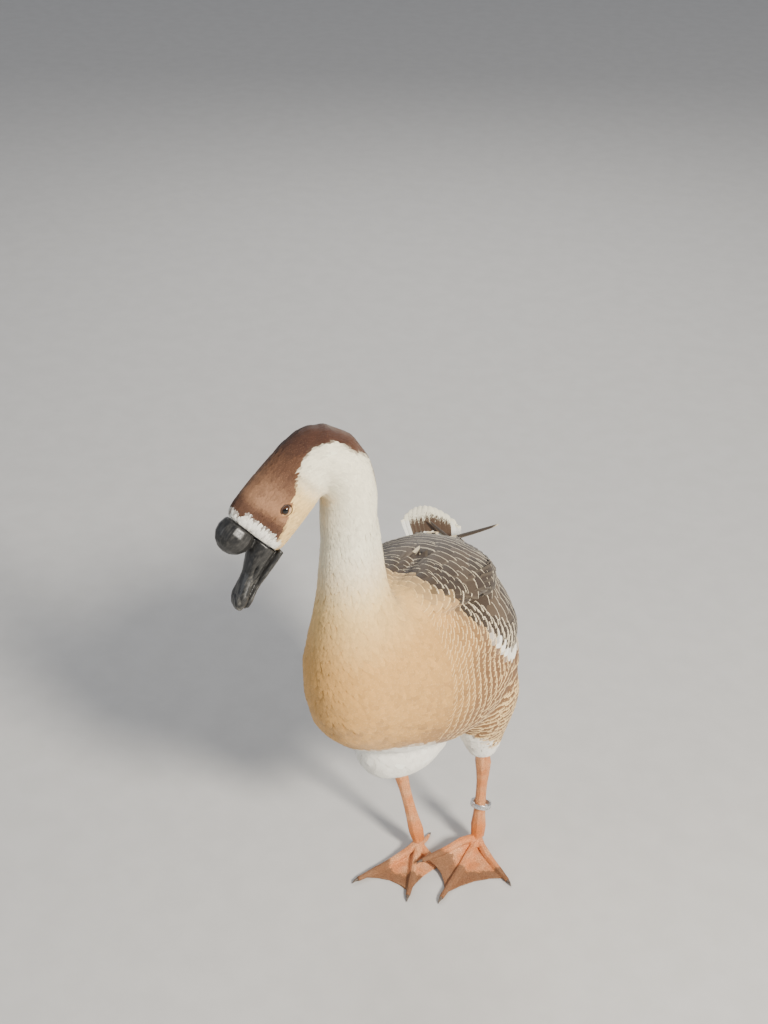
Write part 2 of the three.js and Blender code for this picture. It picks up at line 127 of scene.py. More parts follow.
LEFT_HOCK = (42, 38, 128)
ANKLES = {"left": (39, 37, 19), "right": (-29, 12, 19)}
TOE_TIPS = {"left": ((21, 19), (54, -23), (125, 23), (69, 101)),
            "right": ((-23, 2), (-53, -54), (-117, -43), (-51, 52))}
EYE_FORWARD, EYE_UP, EYE_OUT, EYE_RADIUS = 2, -1, 18.9, 6.4
EYES = {label: in_head(EYE_FORWARD, EYE_UP, side * EYE_OUT) for label, side in SIDES}


# ---- the lie of the coat

BACKBONE = np.array([in_head(62, -6), in_head(34, 2), in_head(0, 2), in_head(-28, 1), in_head(-52, 2),
                     *at((-76.7, -160, 644), (-66.7, -152, 610), (-66.7, -152, 540), (-66.7, -151, 500),
                         bent(0, -146, 450), bent(0, -115, 395), bent(0, -60, 345), bent(0, 0, 315),
                         bent(0, 60, 300), bent(0, 120, 300), bent(0, 180, 318), bent(0, 262, 344))])
THIGHS = [at((30, 38, 225), (36, 36, 190), (41, 34, 150)), at((-82, 24, 225), (-74, 20, 185), (-62, 16, 140))]
LIE_STEP, LIE_BLUR, ALONG_BLUR = 8 * MM, 34 * MM, 14 * MM


def walked(line):
    """Even steps along a line, with the way it runs and how far along each step is."""
    lengths = distances(line)
    along = np.arange(0, lengths[-1], LIE_STEP)
    steps = on_line(line, lengths, along)
    return steps, unit(np.gradient(steps, axis=0)), along / MM


spine, spine_way, spine_along = walked(BACKBONE)
thigh_walks = [walked(line) for line in THIGHS]
lie_steps = np.vstack([spine] + [steps for steps, _, _ in thigh_walks])
lie_ways = np.vstack([spine_way] + [way for _, way, _ in thigh_walks])


def pulls(points, steps, blur):
    """How much each step of a line counts at each place: the nearest most."""
    apart = ((points[:, None] - steps) ** 2).sum(-1)
    return np.exp(-(apart - apart.min(1, keepdims=True)) / blur ** 2)


def lie(points, normals):
    """Which way the coat lies at each place on the skin."""
    way = unit(pulls(points, lie_steps, LIE_BLUR) @ lie_ways)
    return unit(way - (way * normals).sum(-1, keepdims=True) * normals)


def along_body(points):
    """How far behind the bill each place is, in millimetres along the backbone."""
    pull = pulls(points, spine, ALONG_BLUR)
    return pull @ spine_along / pull.sum(1)


# ---- markings

def paint(code):
    """A colour written as on a paint card, in linear light."""
    parts = np.array([int(code[i:i + 2], 16) / 255 for i in (0, 2, 4)])
    return np.where(parts > .04045, ((parts + .055) / 1.055) ** 2.4, parts / 12.92)


CHESTNUT, CHESTNUT_DARK, CHESTNUT_PALE = paint("795439"), paint("46291b"), paint("ac8160")
CREAM, PALE_CREAM, BUFF, TAN = paint("efca86"), paint("f6eed2"), paint("d4a158"), paint("7c5938")
WHITE, SLATE, SLATE_PALE, TAIL_BROWN = paint("f8f5ea"), paint("3d3228"), paint("86715a"), paint("54402f")
FRINGE, BUFF_FRINGE = paint("ecdcba"), paint("f0cd90")

# edges between colours: on the head (forward, up) and (up, forward), on the body (y, z)
CROWN_EDGE = [(-79, -13), (-73, 1), (-64, 10), (-55, 14), (-44, 15), (-33, 13), (-22, 6), (-10, 0), (0, -5),
              (11, -9), (25, -15), (40, -20)]
BAND_EDGE = [(-14, 28), (0, 25.5), (20, 26.5), (30, 31)]
WING_EDGE = [(-115, 460), (-72, 450), (-60, 436), (-38, 409), (-27, 384), (-20, 374), (-7, 353), (8, 334),
             (25, 317), (40, 307), (70, 303), (100, 303), (150, 313), (240, 322)]
BELLY_EDGE = [(-160, 286), (-139, 284), (-118, 278), (-85, 262), (-50, 232), (-20, 212), (3, 203), (60, 207),
              (120, 238), (170, 290), (260, 330)]

# the neck's stripe: how far it faces back, by height, and which way back is below, above and over the bend
STRIPE_NEEDED = [(400, .5), (470, .72), (590, .8), (640, .72), (662, .5)]
BACK_BELOW, BACK_ABOVE, BACK_OVER = np.array(((0, 1, 0), (.66, .75, 0), (-.35, -.35, 1.1)))
NECK_TOP = 625


def wing_front(x, y):
    """Where the dark of the back starts: a little farther back along the spine."""
    return -68 + 18 * np.exp(-((x - middle_of(y)) / 26) ** 2)


class Coat:
    """Colours laid one over the other: feathers, their fringes, and how strong the fringes are."""

    def __init__(self, count):
        self.body = np.tile(PALE_CREAM, (count, 1))
        self.fringe = np.tile(WHITE, (count, 1))
        self.strength = np.full(count, .3)

    def lay_on(self, mask, colour, edge=None, amount=None):
        mask = np.clip(mask, 0, 1)[:, None]
        edge = colour * 1.12 if edge is None else edge
        self.body = self.body + (colour - self.body) * mask
        self.fringe = self.fringe + (edge - self.fringe) * mask
        if amount is not None:
            self.strength = self.strength + (amount - self.strength) * mask[:, 0]


def mark_front(coat, p):
    """White above, cream, then buff down the breast."""
    coat.lay_on(smooth(560, 470, p.z), CREAM)
    coat.lay_on(smooth(505, 400, p.z + 6 * p.broad), BUFF, BUFF_FRINGE, .45)


def mark_flanks(coat, p):
    """The flanks darken towards the tail, in rows of pale fringes; low on the body the darker tan is mostly
    painted shade.
    """
    mottle = smooth(-.15, .55, speckle(p.points * (1, 1, 1.8), 9))
    coat.lay_on(smooth(400, 330, p.z) * mottle * .3, TAN, BUFF_FRINGE)
    coat.lay_on(smooth(-112, -15, p.y + 12 * p.broad) * smooth(430, 380, p.z), TAN, BUFF_FRINGE, .7)
    # painted shade: darker tan low on the breast and flanks where the body curves under, with some of the
    # plumage's own tan
    coat.lay_on(smooth(335, 262, p.z) * smooth(-178, -90, p.y) * .6, TAN, BUFF_FRINGE)


def mark_belly(coat, p):
    """White belly and vent, and the cuffs above the legs."""
    outside_thigh = 30 * smooth(42, 60, p.x) * smooth(-40, 0, p.y)
    belly = smooth(5, -5, p.z - read(p.y, BELLY_EDGE) + 3 * p.ragged + outside_thigh)
    coat.lay_on(belly, WHITE, WHITE, .1)
    coat.lay_on(smooth(186, 172, p.z) * smooth(60, 44, p.x - .4 * (p.y - 36)), WHITE, WHITE, .1)


def mark_back(coat, p):
    """Dark back and wings with a paler edge in front, the white patch below them, and the rump."""
    above = p.z - (read(p.y, WING_EDGE) + 2 * p.ragged)
    behind = p.y - wing_front(p.x, p.y)
    edge = smooth(-30, -4, above) * smooth(-34, -8, behind) * smooth(10, -30, p.y) * .6
    coat.lay_on(edge, SLATE_PALE, BUFF_FRINGE, .5)
    slate = SLATE + (SLATE_PALE - SLATE) * smooth(-.2, .8, p.broad)[:, None] * .35
    coat.lay_on(smooth(-4, 5, above) * smooth(-5, 5, behind - 6 * p.broad), slate, FRINGE, 1)
    patch = smooth(-17, -10, above) * smooth(4, -4, above) * smooth(-26, -12, p.y) * smooth(66, 48, p.y)
    coat.lay_on(patch, WHITE, WHITE, .2)
    rump = smooth(150, 164, p.y) * smooth(357, 346, p.z + .25 * np.abs(p.x - middle_of(p.y)))
    coat.lay_on(rump, WHITE, WHITE, .2)


def mark_neck(coat, p):
    """The dark stripe down the back of the neck."""
    out = np.column_stack((p.x - NECK_AXIS[0], p.y - NECK_AXIS[1], np.maximum(p.z - NECK_TOP, 0)))
    outward, reach = unit(out), np.linalg.norm(out, axis=1)
    turn, over = smooth(560, 640, p.z)[:, None], smooth(632, 668, p.z)[:, None]
    backward = unit(BACK_BELOW * (1 - turn) + BACK_ABOVE * turn + BACK_OVER * over)
    stripe = smooth(-.12, .12, (outward * backward).sum(1) - read(p.z, STRIPE_NEEDED) + .1 * p.ragged)
    off_head = 1 - smooth(-78, -72, p.forward) * smooth(622, 640, p.z)
    stripe = stripe * smooth(395, 410, p.z) * smooth(58, 46, reach) * off_head
    dark = CHESTNUT_DARK + (CHESTNUT - CHESTNUT_DARK) * smooth(-1, 1, p.broad)[:, None] * .6
    coat.lay_on(stripe, dark, CHESTNUT, .4)


def mark_head(coat, p):
    """Cream cheeks, a mottled chestnut crown, and a ragged white band round the bill."""
    head = smooth(-84, -78, p.forward) * smooth(-46, -40, p.up) * (p.z > 560)
    coat.lay_on(head * smooth(-40, -10, p.forward), CREAM)
    crown = head * smooth(-1.5, 1.5, p.up - read(p.forward, CROWN_EDGE) + 1.6 * p.ragged)
    shade = smooth(-1, 1, p.broad + .02 * (p.forward + 20))[:, None]
    coat.lay_on(crown, CHESTNUT_DARK + (CHESTNUT - CHESTNUT_DARK) * shade, CHESTNUT_PALE, .5)
    pale = crown * smooth(-30, 12, p.forward) * smooth(1.2, -.6, p.broad) * .75
    coat.lay_on(pale, CHESTNUT_PALE, CHESTNUT_PALE)
    coat.lay_on(crown * smooth(0, .6, speckle(p.points, 7)) * .3, CHESTNUT_DARK, CHESTNUT)
    coat.lay_on(crown * smooth(9, 21, p.forward + 3 * p.broad) * .85, CHESTNUT_DARK, CHESTNUT, .3)
    coat.lay_on(crown * smooth(-38, -66, p.forward + 8 * p.broad) * .7, CHESTNUT_DARK, CHESTNUT, .4)
    band = head * smooth(-1.5, 1.5, p.forward - read(p.up, BAND_EDGE) + 4.5 * p.ragged)
    specks = smooth(.3, .5, speckle(p.points, 2.4)) * smooth(-12, -2, p.up)
    coat.lay_on(band * smooth(-26, -20, p.up) * (1 - .75 * specks), WHITE, WHITE, .1)


def markings(points):
    """Each place's feather colour, its fringe colour, and how strong the fringe is."""
    forward, up, _ = on_head(points)
    x, y, z = told(points).T
    place = SimpleNamespace(points=points, x=x, y=y, z=z, forward=forward, up=up,
                            ragged=speckle(points, 5), broad=speckle(points, 28))
    coat = Coat(len(points))
    for mark in (mark_front, mark_flanks, mark_belly, mark_back, mark_neck, mark_head):
        mark(coat, place)
    return coat.body, coat.fringe, coat.strength


# ---- finishes

class Tone:
    """A socket of a finish, with arithmetic."""

    def __init__(self, finish, socket):
        self.finish, self.socket = finish, socket

    def sum(self, operation, *values):
        return self.finish.node("ShaderNodeMath", {"operation": operation}, dict(enumerate(values)))

    def __add__(self, other):
        return self.sum("ADD", self, other)

    def __radd__(self, other):
        return self.sum("ADD", other, self)

    def __sub__(self, other):
        return self.sum("SUBTRACT", self, other)

    def __rsub__(self, other):
        return self.sum("SUBTRACT", other, self)

    def __mul__(self, other):
        return self.sum("MULTIPLY", self, other)

    def __rmul__(self, other):
        return self.sum("MULTIPLY", other, self)

    def __pow__(self, other):
        return self.sum("POWER", self, other)


class Finish:
    """A material, built from nodes."""

    def __init__(self, name):
        self.material = bpy.data.materials.new(name)
        self.material.use_nodes = True
        self.tree = self.material.node_tree
        self.tree.nodes.clear()

    def node(self, kind, settings=None, inputs=None, outlet=0):
        """Adds a node: its type, its settings, then the values or links of its sockets."""
        made = self.tree.nodes.new(kind)
        for key, value in (settings or {}).items():
            setattr(made, key, value)
        for key, value in (inputs or {}).items():
            if isinstance(value, Tone):
                self.tree.links.new(value.socket, made.inputs[key])
            else:
                made.inputs[key].default_value = value
        return Tone(self, made.outputs[outlet]) if made.outputs else None

    def attribute(self, name, outlet="Color"):
        return self.node("ShaderNodeAttribute", {"attribute_name": name}, outlet=outlet)

    def place(self, scale=(1, 1, 1)):
        """The piece's own place in the shared frame, stretched if asked."""
        spot = self.node("ShaderNodeTexCoord", outlet="Object")
        return self.node("ShaderNodeMapping", inputs={"Vector": spot, "Scale": scale})

    def cloud(self, vector, size, detail=3, rough=.55):
        """Noise with lumps of that size in millimetres."""
        return self.node("ShaderNodeTexNoise", inputs={"Vector": vector, "Scale": 1 / (size * MM),
                                                       "Detail": detail, "Roughness": rough})

    def cells(self, vector, size):
        """Distance to the nearest edge between cells of that size in millimetres."""
        return self.node("ShaderNodeTexVoronoi", {"feature": "DISTANCE_TO_EDGE"},
                         {"Vector": vector, "Scale": 1 / (size * MM)})

    def rise(self, value, low, high, to_low=0, to_high=1):
        """An even rise of the value, from to_low at low up to to_high at high."""
        limits = {"From Min": low, "From Max": high, "To Min": to_low, "To Max": to_high}
        return self.node("ShaderNodeMapRange", {"interpolation_type": "SMOOTHSTEP"},
                         {"Value": value, **limits})

    def mix(self, part, one, other, blend="MIX"):
        colours = [value if isinstance(value, Tone) else (*value, 1) for value in (one, other)]
        return self.node("ShaderNodeMix", {"data_type": "RGBA", "blend_type": blend},
                         {0: part, 6: colours[0], 7: colours[1]}, outlet=2)

    def parts(self, vector):
        split = self.node("ShaderNodeSeparateXYZ", inputs={"Vector": vector})
        return [Tone(self, outlet) for outlet in split.socket.node.outputs]

    def bump(self, height, depth, strength):
        """Relief so many millimetres deep."""
        return self.node("ShaderNodeBump",
                         inputs={"Height": height, "Distance": depth * MM, "Strength": strength})

    def coat(self, **sockets):
        """Ends the finish with its shader; names are written with underscores."""
        inputs = {key.replace("_", " "): value for key, value in sockets.items()}
        shader = self.node("ShaderNodeBsdfPrincipled", inputs=inputs)
        self.node("ShaderNodeOutputMaterial", inputs={"Surface": shader})
        return self.material


def plumage():
    """Vanes: the body colour, a fringe round the edge, and fine barbs."""
    f = Finish("plumage")
    edge, along, _ = f.parts(f.node("ShaderNodeUVMap", {"uv_map": "Vane"}))
    grain = f.cloud(f.place(), 1.6)
    tip = f.rise(along, .93, .985, .04, 1)
    start = f.attribute("Feather", "Alpha")
    fringe = f.rise(edge + (grain - .5) * .12, .7, .84) * tip * f.attribute("Fringe", "Alpha")
    streaks = f.cloud(f.place((1, .12, 1)), 1.1)
    ragged = along + (streaks - .5) * .34 + edge * .1
    fringe = fringe.sum("MAXIMUM", fringe, f.rise(ragged, start - .06, start + .06))
    worn = f.mix(f.rise(grain, .2, .8, 0, .35), f.attribute("Feather"), (.62, .6, .56), "MULTIPLY")
    colour = f.mix(fringe, worn, f.attribute("Fringe"))
    barbs = f.node("ShaderNodeMath", {"operation": "SINE"}, {0: along * 190 + edge * 26})
    height = barbs * .35 + (1 - edge ** 6) + grain * .5
    return f.coat(Base_Color=colour, Roughness=f.rise(grain, .2, .8, .62, .8), Normal=f.bump(height, .16, .5),
                  Specular_IOR_Level=.3, Sheen_Weight=.12, Sheen_Roughness=.5)


def hide():
    """The skin under the coat, in the coat's own colours."""
    f = Finish("skin")
    down = f.cloud(f.place(), 1.4, 5)
    colour = f.mix(f.rise(down, .3, .7, 0, .35), f.attribute("Feather"), (.6, .57, .52), "MULTIPLY")
    return f.coat(Base_Color=colour, Roughness=.85, Normal=f.bump(down, .8, .8), Specular_IOR_Level=.2)


def bill_horn():
    """Black horn, greyed and scratched along the bill."""
    f = Finish("bill horn")
    spot = f.attribute("Head", "Vector")
    streaks = f.cloud(f.node("ShaderNodeMapping", inputs={"Vector": spot, "Scale": (1, .18, 1)}), 1.5, 5, .6)
    blotch = f.cloud(spot, 7, 4)
    pores = f.cloud(spot, .7, 3)
    worn = f.rise(blotch, .5, .68) * f.attribute("Worn", "Fac")
    dark = f.mix(f.rise(streaks, .42, .7), (.01, .0098, .0094), (.036, .034, .031))
    colour = f.mix(worn * f.rise(streaks, .35, .6, .25, .8), dark, (.14, .132, .115))
    height = streaks * .6 + pores * .25 + blotch
    return f.coat(Base_Color=colour, Roughness=f.rise(streaks, .3, .7, .3, .52) + worn * .15,
                  Normal=f.bump(height, .35, .6), Specular_IOR_Level=.5, Coat_Weight=.12, Coat_Roughness=.3)


def leg_skin():
    """Orange-pink scutes, with dry soil rubbed into the webs."""
    f = Finish("leg skin")
    spot = f.place()
    cells = f.cells(spot, 2.3)
    band_line = f.rise(f.attribute("Bands", "Fac"), 0, .35)
    blotch, fine = f.cloud(spot, 16, 4), f.cloud(spot, 1.2, 3)
    crease = f.rise(cells, 0, .16)
    flesh = f.mix(f.rise(blotch, .35, .65), (.72, .26, .085), (.82, .40, .19))
    flesh = f.mix(f.attribute("Warm", "Fac"), flesh, (.78, .22, .04))
    flesh = f.mix((1 - crease * band_line) * .6, flesh, (.33, .12, .045))
    soil = f.rise(f.attribute("Soil", "Fac") + (blotch - .5) * 1.3 + (fine - .5) * .5, .42, .62)
    dust = f.mix(f.rise(fine, .3, .7), (.10, .042, .02), (.23, .115, .055))
    colour = f.mix(soil * .85, flesh, dust)
    height = crease * .5 + band_line * .8 + fine * .3
    return f.coat(Base_Color=colour, Roughness=f.rise(soil, 0, 1, .5, .8), Normal=f.bump(height, .9, .9),
                  Specular_IOR_Level=.4)


def claw_horn():
    """Dark horn with paler grain."""
    f = Finish("claw horn")
    grain = f.cloud(f.place(), 1.2, 4)
    colour = f.mix(f.rise(grain, .3, .7), (.035, .026, .02), (.17, .12, .085))
    return f.coat(Base_Color=colour, Roughness=f.rise(grain, .3, .7, .35, .6), Normal=f.bump(grain, .2, .5))


def eye_glass():
    """Pupil, brown iris with fine rays, and a dark rim."""
    f = Finish("eye")
    out, spoke, _ = f.parts(f.attribute("Iris", "Vector"))
    rays = f.node("ShaderNodeTexNoise", {"noise_dimensions": "1D"},
                  {"W": spoke * 9, "Scale": 2.2, "Detail": 3})
    iris = f.mix(f.rise(rays, .3, .7), (.03, .012, .005), (.085, .036, .014))
    iris = f.mix(f.rise(out, .62, .9), iris, (.03, .012, .006))
    colour = f.mix(f.rise(out, .36, .42), (.002, .002, .002), iris)
    colour = f.mix(f.rise(out, .98, 1.12), colour, (.012, .008, .006))
    return f.coat(Base_Color=colour, Roughness=f.rise(rays, .3, .7, .1, .14), Specular_IOR_Level=.4,
                  Coat_Weight=.5, Coat_Roughness=.02)


def lid_skin():
    """Dark bare skin, paler below."""
    f = Finish("lid skin")
    grain = f.cloud(f.place(), .8, 3)
    pale = f.rise(f.attribute("Pale", "Fac") + (grain - .5) * .4, .4, .7)
    colour = f.mix(pale, (.05, .027, .017), (.5, .31, .16))
    return f.coat(Base_Color=colour, Roughness=.6, Normal=f.bump(grain, .25, .7))


def ring_metal():
    """Dull, scratched metal."""
    f = Finish("ring metal")
    grain, scratch = f.cloud(f.place(), 3, 4), f.cloud(f.place((1, 1, 9)), 2.2, 4)
    colour = f.mix(f.rise(grain, .4, .7), (.78, .79, .8), (.5, .47, .44))
    return f.coat(Base_Color=colour, Metallic=1., Roughness=f.rise(scratch, .3, .7, .22, .45),
                  Normal=f.bump(scratch, .12, .5))


def pale_floor():
    f = Finish("pale floor")
    grain = f.cloud(f.place(), 40, 3)
    colour = f.mix(f.rise(grain, .3, .7), (.52, .51, .49), (.545, .535, .515))
    return f.coat(Base_Color=colour, Roughness=.9)


FINISHES = {"plumage": plumage(), "hide": hide(), "bill": bill_horn(), "leg": leg_skin(), "claw": claw_horn(),
            "eye": eye_glass(), "lid": lid_skin(), "ring": ring_metal(), "floor": pale_floor()}


# ---- making pieces

def note(mesh, name, values):
    """Writes numbers, directions or colours on a mesh's vertices."""
    values = np.asarray(values, np.float32)
    width = 1 if values.ndim == 1 else values.shape[1]
    kind, field = {1: ("FLOAT", "value"), 3: ("FLOAT_VECTOR", "vector"), 4: ("FLOAT_COLOR", "color")}[width]
    mesh.attributes.new(name, kind, "POINT").data.foreach_set(field, values.ravel())


def spots(mesh, field="co"):
    """The places of a mesh's vertices, or their normals."""
    found = np.empty(len(mesh.vertices) * 3, np.float32)
    mesh.vertices.foreach_get(field, found)
    return found.reshape(-1, 3).astype(float)


def move(mesh, places):
    mesh.vertices.foreach_set("co", np.asarray(places, np.float32).ravel())
    mesh.update()


def as_mesh(bm, name):
    """Ends a mesh under construction."""
    mesh = bpy.data.meshes.new(name)
    bm.to_mesh(mesh)
    bm.free()
    return mesh


def shade_smooth(mesh, sharp_from=None):
    """Shades a mesh smoothly, but for edges sharper than so many degrees."""
    mesh.polygons.foreach_set("use_smooth", np.ones(len(mesh.polygons), bool))
    if sharp_from:
        mesh.set_sharp_from_angle(angle=math.radians(sharp_from))


def show(name, mesh, finish, replaced=()):
    """Puts a finished mesh in the scene, riding on the body."""
    piece = bpy.data.objects.new(name, mesh)
    bpy.context.collection.objects.link(piece)
    mesh.materials.clear()
    mesh.materials.append(FINISHES[finish])
    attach(piece, "root")
    if replaced:
        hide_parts(*replaced)
    return piece


def joined(nodes, cut=None):
    """Copies of the solids in one mesh, with their doubles merged, and cut off at a plane if one is given."""
    bm = bmesh.new()
    for node in nodes:
        bm.from_mesh(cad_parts[node].data)
    bmesh.ops.remove_doubles(bm, verts=bm.verts, dist=1e-6)
    if cut:
        point, normal = cut
        found = bmesh.ops.bisect_plane(bm, geom=bm.verts[:] + bm.edges[:] + bm.faces[:], dist=1e-6,
                                       plane_co=point, plane_no=normal, clear_outer=True)
        edges = [item for item in found["geom_cut"] if isinstance(item, bmesh.types.BMEdge)]
        bmesh.ops.holes_fill(bm, edges=edges, sides=0)
    return as_mesh(bm, nodes[0])


def neighbours(mesh):
    """Every edge from both its ends: a vertex, the other vertex, and each vertex's count of edges."""
    ends = np.empty(len(mesh.edges) * 2, np.int32)
    mesh.edges.foreach_get("vertices", ends)
    one, other = ends.reshape(-1, 2).T
    near, far = np.concatenate((one, other)), np.concatenate((other, one))
    return near, far, np.maximum(np.bincount(near, minlength=len(mesh.vertices)), 1)


def evened(mesh, values, rounds):
    """Values on the vertices, each moved halfway to its neighbours' mean, again and again."""
    near, far, shares = neighbours(mesh)
    values = values.copy()
    for _ in range(rounds):
        for axis in range(values.shape[1]):
            mean = np.bincount(near, values[far, axis], len(values)) / shares
            values[:, axis] += (mean - values[:, axis]) / 2
    return values


def faired(mesh, rounds):
    """The vertices' places with facets smoothed out, and broad forms kept at their size."""
    places = spots(mesh)
    calm = evened(mesh, places, rounds)
    return calm + evened(mesh, places - calm, rounds)


def softened(mesh, voxel, rounds):
    """The solids closed into one fine skin and smoothed."""
    draft = bpy.data.objects.new("draft", mesh)
    bpy.context.collection.objects.link(draft)
    close = draft.modifiers.new("close", "REMESH")
    close.mode, close.voxel_size, close.use_smooth_shade = "VOXEL", voxel * MM, True
    graph = bpy.context.evaluated_depsgraph_get()
    result = bpy.data.meshes.new_from_object(draft.evaluated_get(graph))
    bpy.data.objects.remove(draft)
    bpy.data.meshes.remove(mesh)
    move(result, faired(result, rounds))
    return result


# ---- the skin

FLESH = ["head", "neck_upper", "neck_middle", "breast", "trunk", "rump", "belly", "thigh_left", "thigh_right",
         "wing_left_scapulars", "wing_left_coverts", "wing_right_scapulars", "wing_right_coverts"]
TAIL_CUT = 212
SKIN_VOXEL, SKIN_ROUNDS = 2.5, 6
HOLLOW_FRONT, HOLLOW_BACK, HOLLOW_LOW, HOLLOW_HALF = -116, 222, 322, 62    # between wings and spine
BRIDGE_ROUNDS, BODY_ROUNDS, BACK_ROUNDS = 320, 44, 170

# how deep the coat is along the body, and which share of that the thighs have by height
DEPTH = [(30, 1.), (60, 1.1), (110, 1.4), (180, 1.9), (290, 2.2), (400, 2.6), (520, 3.6)]
THIGH_DEPTH = [(150, .35), (200, 1)]
BLOCKS = 12


def in_blocks(work, points):
    """Does the work on one block of points after another, to spare memory."""
    return np.concatenate([work(block) for block in np.array_split(points, BLOCKS)])


def bridge_back(flesh):
    """Draws a taut surface over the hollows between the wings and the spine."""
    places = spots(flesh)
    x, y, z = told(places).T
    free = (y > HOLLOW_FRONT) & (y < HOLLOW_BACK) & (z > HOLLOW_LOW)
    free &= np.abs(x - middle_of(y)) < HOLLOW_HALF
    near, far, shares = neighbours(flesh)
    height = places[:, 2].copy()
    for _ in range(BRIDGE_ROUNDS):
        mean = np.bincount(near, height[far], len(places)) / shares
        height = np.where(free, np.maximum(height, mean), height)
    places[:, 2] = height
    move(flesh, places)


def calm(mesh, rounds, share):
    """Fairs a mesh, each vertex by its own share."""
    share = share[:, None]
    move(mesh, spots(mesh) * (1 - share) + faired(mesh, rounds) * share)


def flesh_mesh():
    """Flesh and the root of the tail as one form, out to the tips of the coat."""
    bm = bmesh.new()
    bm.from_mesh(joined(FLESH))
    bm.from_mesh(joined(["tail"], (Vector(at((0, TAIL_CUT, 0))[0]), Vector((0, 1, 0)))))
    flesh = softened(as_mesh(bm, "flesh"), SKIN_VOXEL, SKIN_ROUNDS)
    bridge_back(flesh)
    calm(flesh, BODY_ROUNDS, smooth(60, 300, in_blocks(along_body, spots(flesh))))
    _, y, z = told(spots(flesh)).T
    calm(flesh, BACK_ROUNDS, smooth(-112, -70, y) * smooth(300, 340, z))
    return flesh


def depth_at(points):
    """How deep the coat is; thin on the lower thighs, where it ends at the legs."""
    return read(along_body(points), DEPTH) * read(told(points)[:, 2], THIGH_DEPTH)


def unwrap(piece):
    """Lays the piece's faces out flat."""
    bpy.context.view_layer.objects.active = piece
    piece.select_set(True)
    bpy.ops.object.mode_set(mode="EDIT")
    bpy.ops.mesh.select_all(action="SELECT")
    bpy.ops.uv.smart_project(angle_limit=math.radians(66), island_margin=.002)
    bpy.ops.object.mode_set(mode="OBJECT")
    piece.select_set(False)
    piece.data.uv_layers[0].name = "OFBake"


def layout_places(mesh):
    """The middle of each face in the flat layout."""
    corners = np.empty(len(mesh.loops) * 2, np.float32)
    mesh.uv_layers["OFBake"].data.foreach_get("uv", corners)
    corners = corners.reshape(-1, 2)
    return np.array([corners[face.loop_start:face.loop_start + face.loop_total].mean(0)
                     for face in mesh.polygons])


skin_mesh = flesh_mesh()
outer = spots(skin_mesh)
move(skin_mesh, outer - spots(skin_mesh, "normal") * in_blocks(depth_at, outer)[:, None] * MM)
skin_colour, _, _ = markings(spots(skin_mesh))
note(skin_mesh, "Feather", np.column_stack((skin_colour, np.ones(len(skin_colour)))))
unwrap(show("goose_skin", skin_mesh, "hide", FLESH))
skin_tree = BVHTree.FromPolygons([Vector(spot) for spot in spots(skin_mesh)],
                                 [tuple(face.vertices) for face in skin_mesh.polygons])
face_uv = layout_places(skin_mesh)


# ---- vanes

UNDERSIDE, TIP_FROM = -.25, .8      # how low a vane's flat underside is, and where the rim of its tip starts
RISE_CURVE, LIFT_FROM = .8, .7      # how a vane climbs off the skin, and where its tip starts to lift
NOWHERE = 1.5                       # a place past the tip, for a fringe that never takes all the width
PATCH_WIDTH, PATCH_LENGTH = .0015, .003     # of one vane in the flat layout
VANE_CREASE = 62


def vane_shape(sides, stations):
    """One closed vane: x across in half widths, y from root to tip, z its thickness.

    Each station is (place along, half width); both ends close to a point.
    """
    bm = bmesh.new()
    bmesh.ops.create_circle(bm, segments=sides, radius=1)
    (first, width), *rest = stations
    for vert in bm.verts:
        vert.co = (vert.co.x * width, first, max(vert.co.y, UNDERSIDE))
    ring = bm.edges[:]
    bmesh.ops.contextual_create(bm, geom=bm.verts[:])
    cap_root = bm.faces[:]
    for place, half in rest:
        extruded = bmesh.ops.extrude_edge_only(bm, edges=ring)["geom"]
        ring = [item for item in extruded if isinstance(item, bmesh.types.BMEdge)]
        end_verts = {vert for edge in ring for vert in edge.verts}
        for vert in end_verts:
            vert.co.y = place
            vert.co.x *= half / width
        width = half
    cap_tip = bmesh.ops.contextual_create(bm, geom=list(end_verts))["faces"]
    for cap, end in ((cap_root[0], 0), (cap_tip[0], 1)):
        bmesh.ops.poke(bm, faces=[cap])["verts"][0].co = (0, end, .1)
    bmesh.ops.recalc_face_normals(bm, faces=bm.faces)
    bm.verts.ensure_lookup_table()
    places = np.array([vert.co for vert in bm.verts])
    faces = [[vert.index for vert in face.verts] for face in bm.faces]
    bm.free()
    halves = read(places[:, 1], [(0, 1e-6), *stations, (1, 1e-6)])
    across = np.where(np.abs(places[:, 0]) < 1e-5, 0, np.abs(places[:, 0]) / np.maximum(halves, 1e-6))
    edge = np.maximum(np.clip(across, 0, 1), np.clip((places[:, 1] - TIP_FROM) / (1 - TIP_FROM), 0, 1) ** 2)
    return dict(places=places, faces=faces, edge=edge, along=np.unique(np.round(places[:, 1], 6)))


SMALL = vane_shape(4, [(.1, .5), (.4, .95), (.7, 1), (.88, .74)])
SQUARE = vane_shape(8, [(.06, .35), (.35, .88), (.7, 1), (.93, 1), (.975, .95), (.993, .8)])
LONG = vane_shape(8, [(.03, .3), (.15, .75), (.35, .95), (.55, 1), (.72, 1), (.84, .9), (.92, .7),
                      (.975, .4)])


def nearest(points):
    """The skin's nearest place to each point, its normal and its face."""
    found = [skin_tree.find_nearest(Vector(point))[:3] for point in points]
    return (np.array([spot for spot, _, _ in found]), np.array([normal for _, normal, _ in found]),
            np.array([face for _, _, face in found]))


def headings(spot, normal, turns):
    """The lie of the coat, turned aside by an angle, and the way across it."""
    way = lie(spot, normal)
    across = np.cross(normal, way)
    cosine, sine = np.cos(turns)[:, None], np.sin(turns)[:, None]
    return way * cosine + across * sine, across * cosine - way * sine


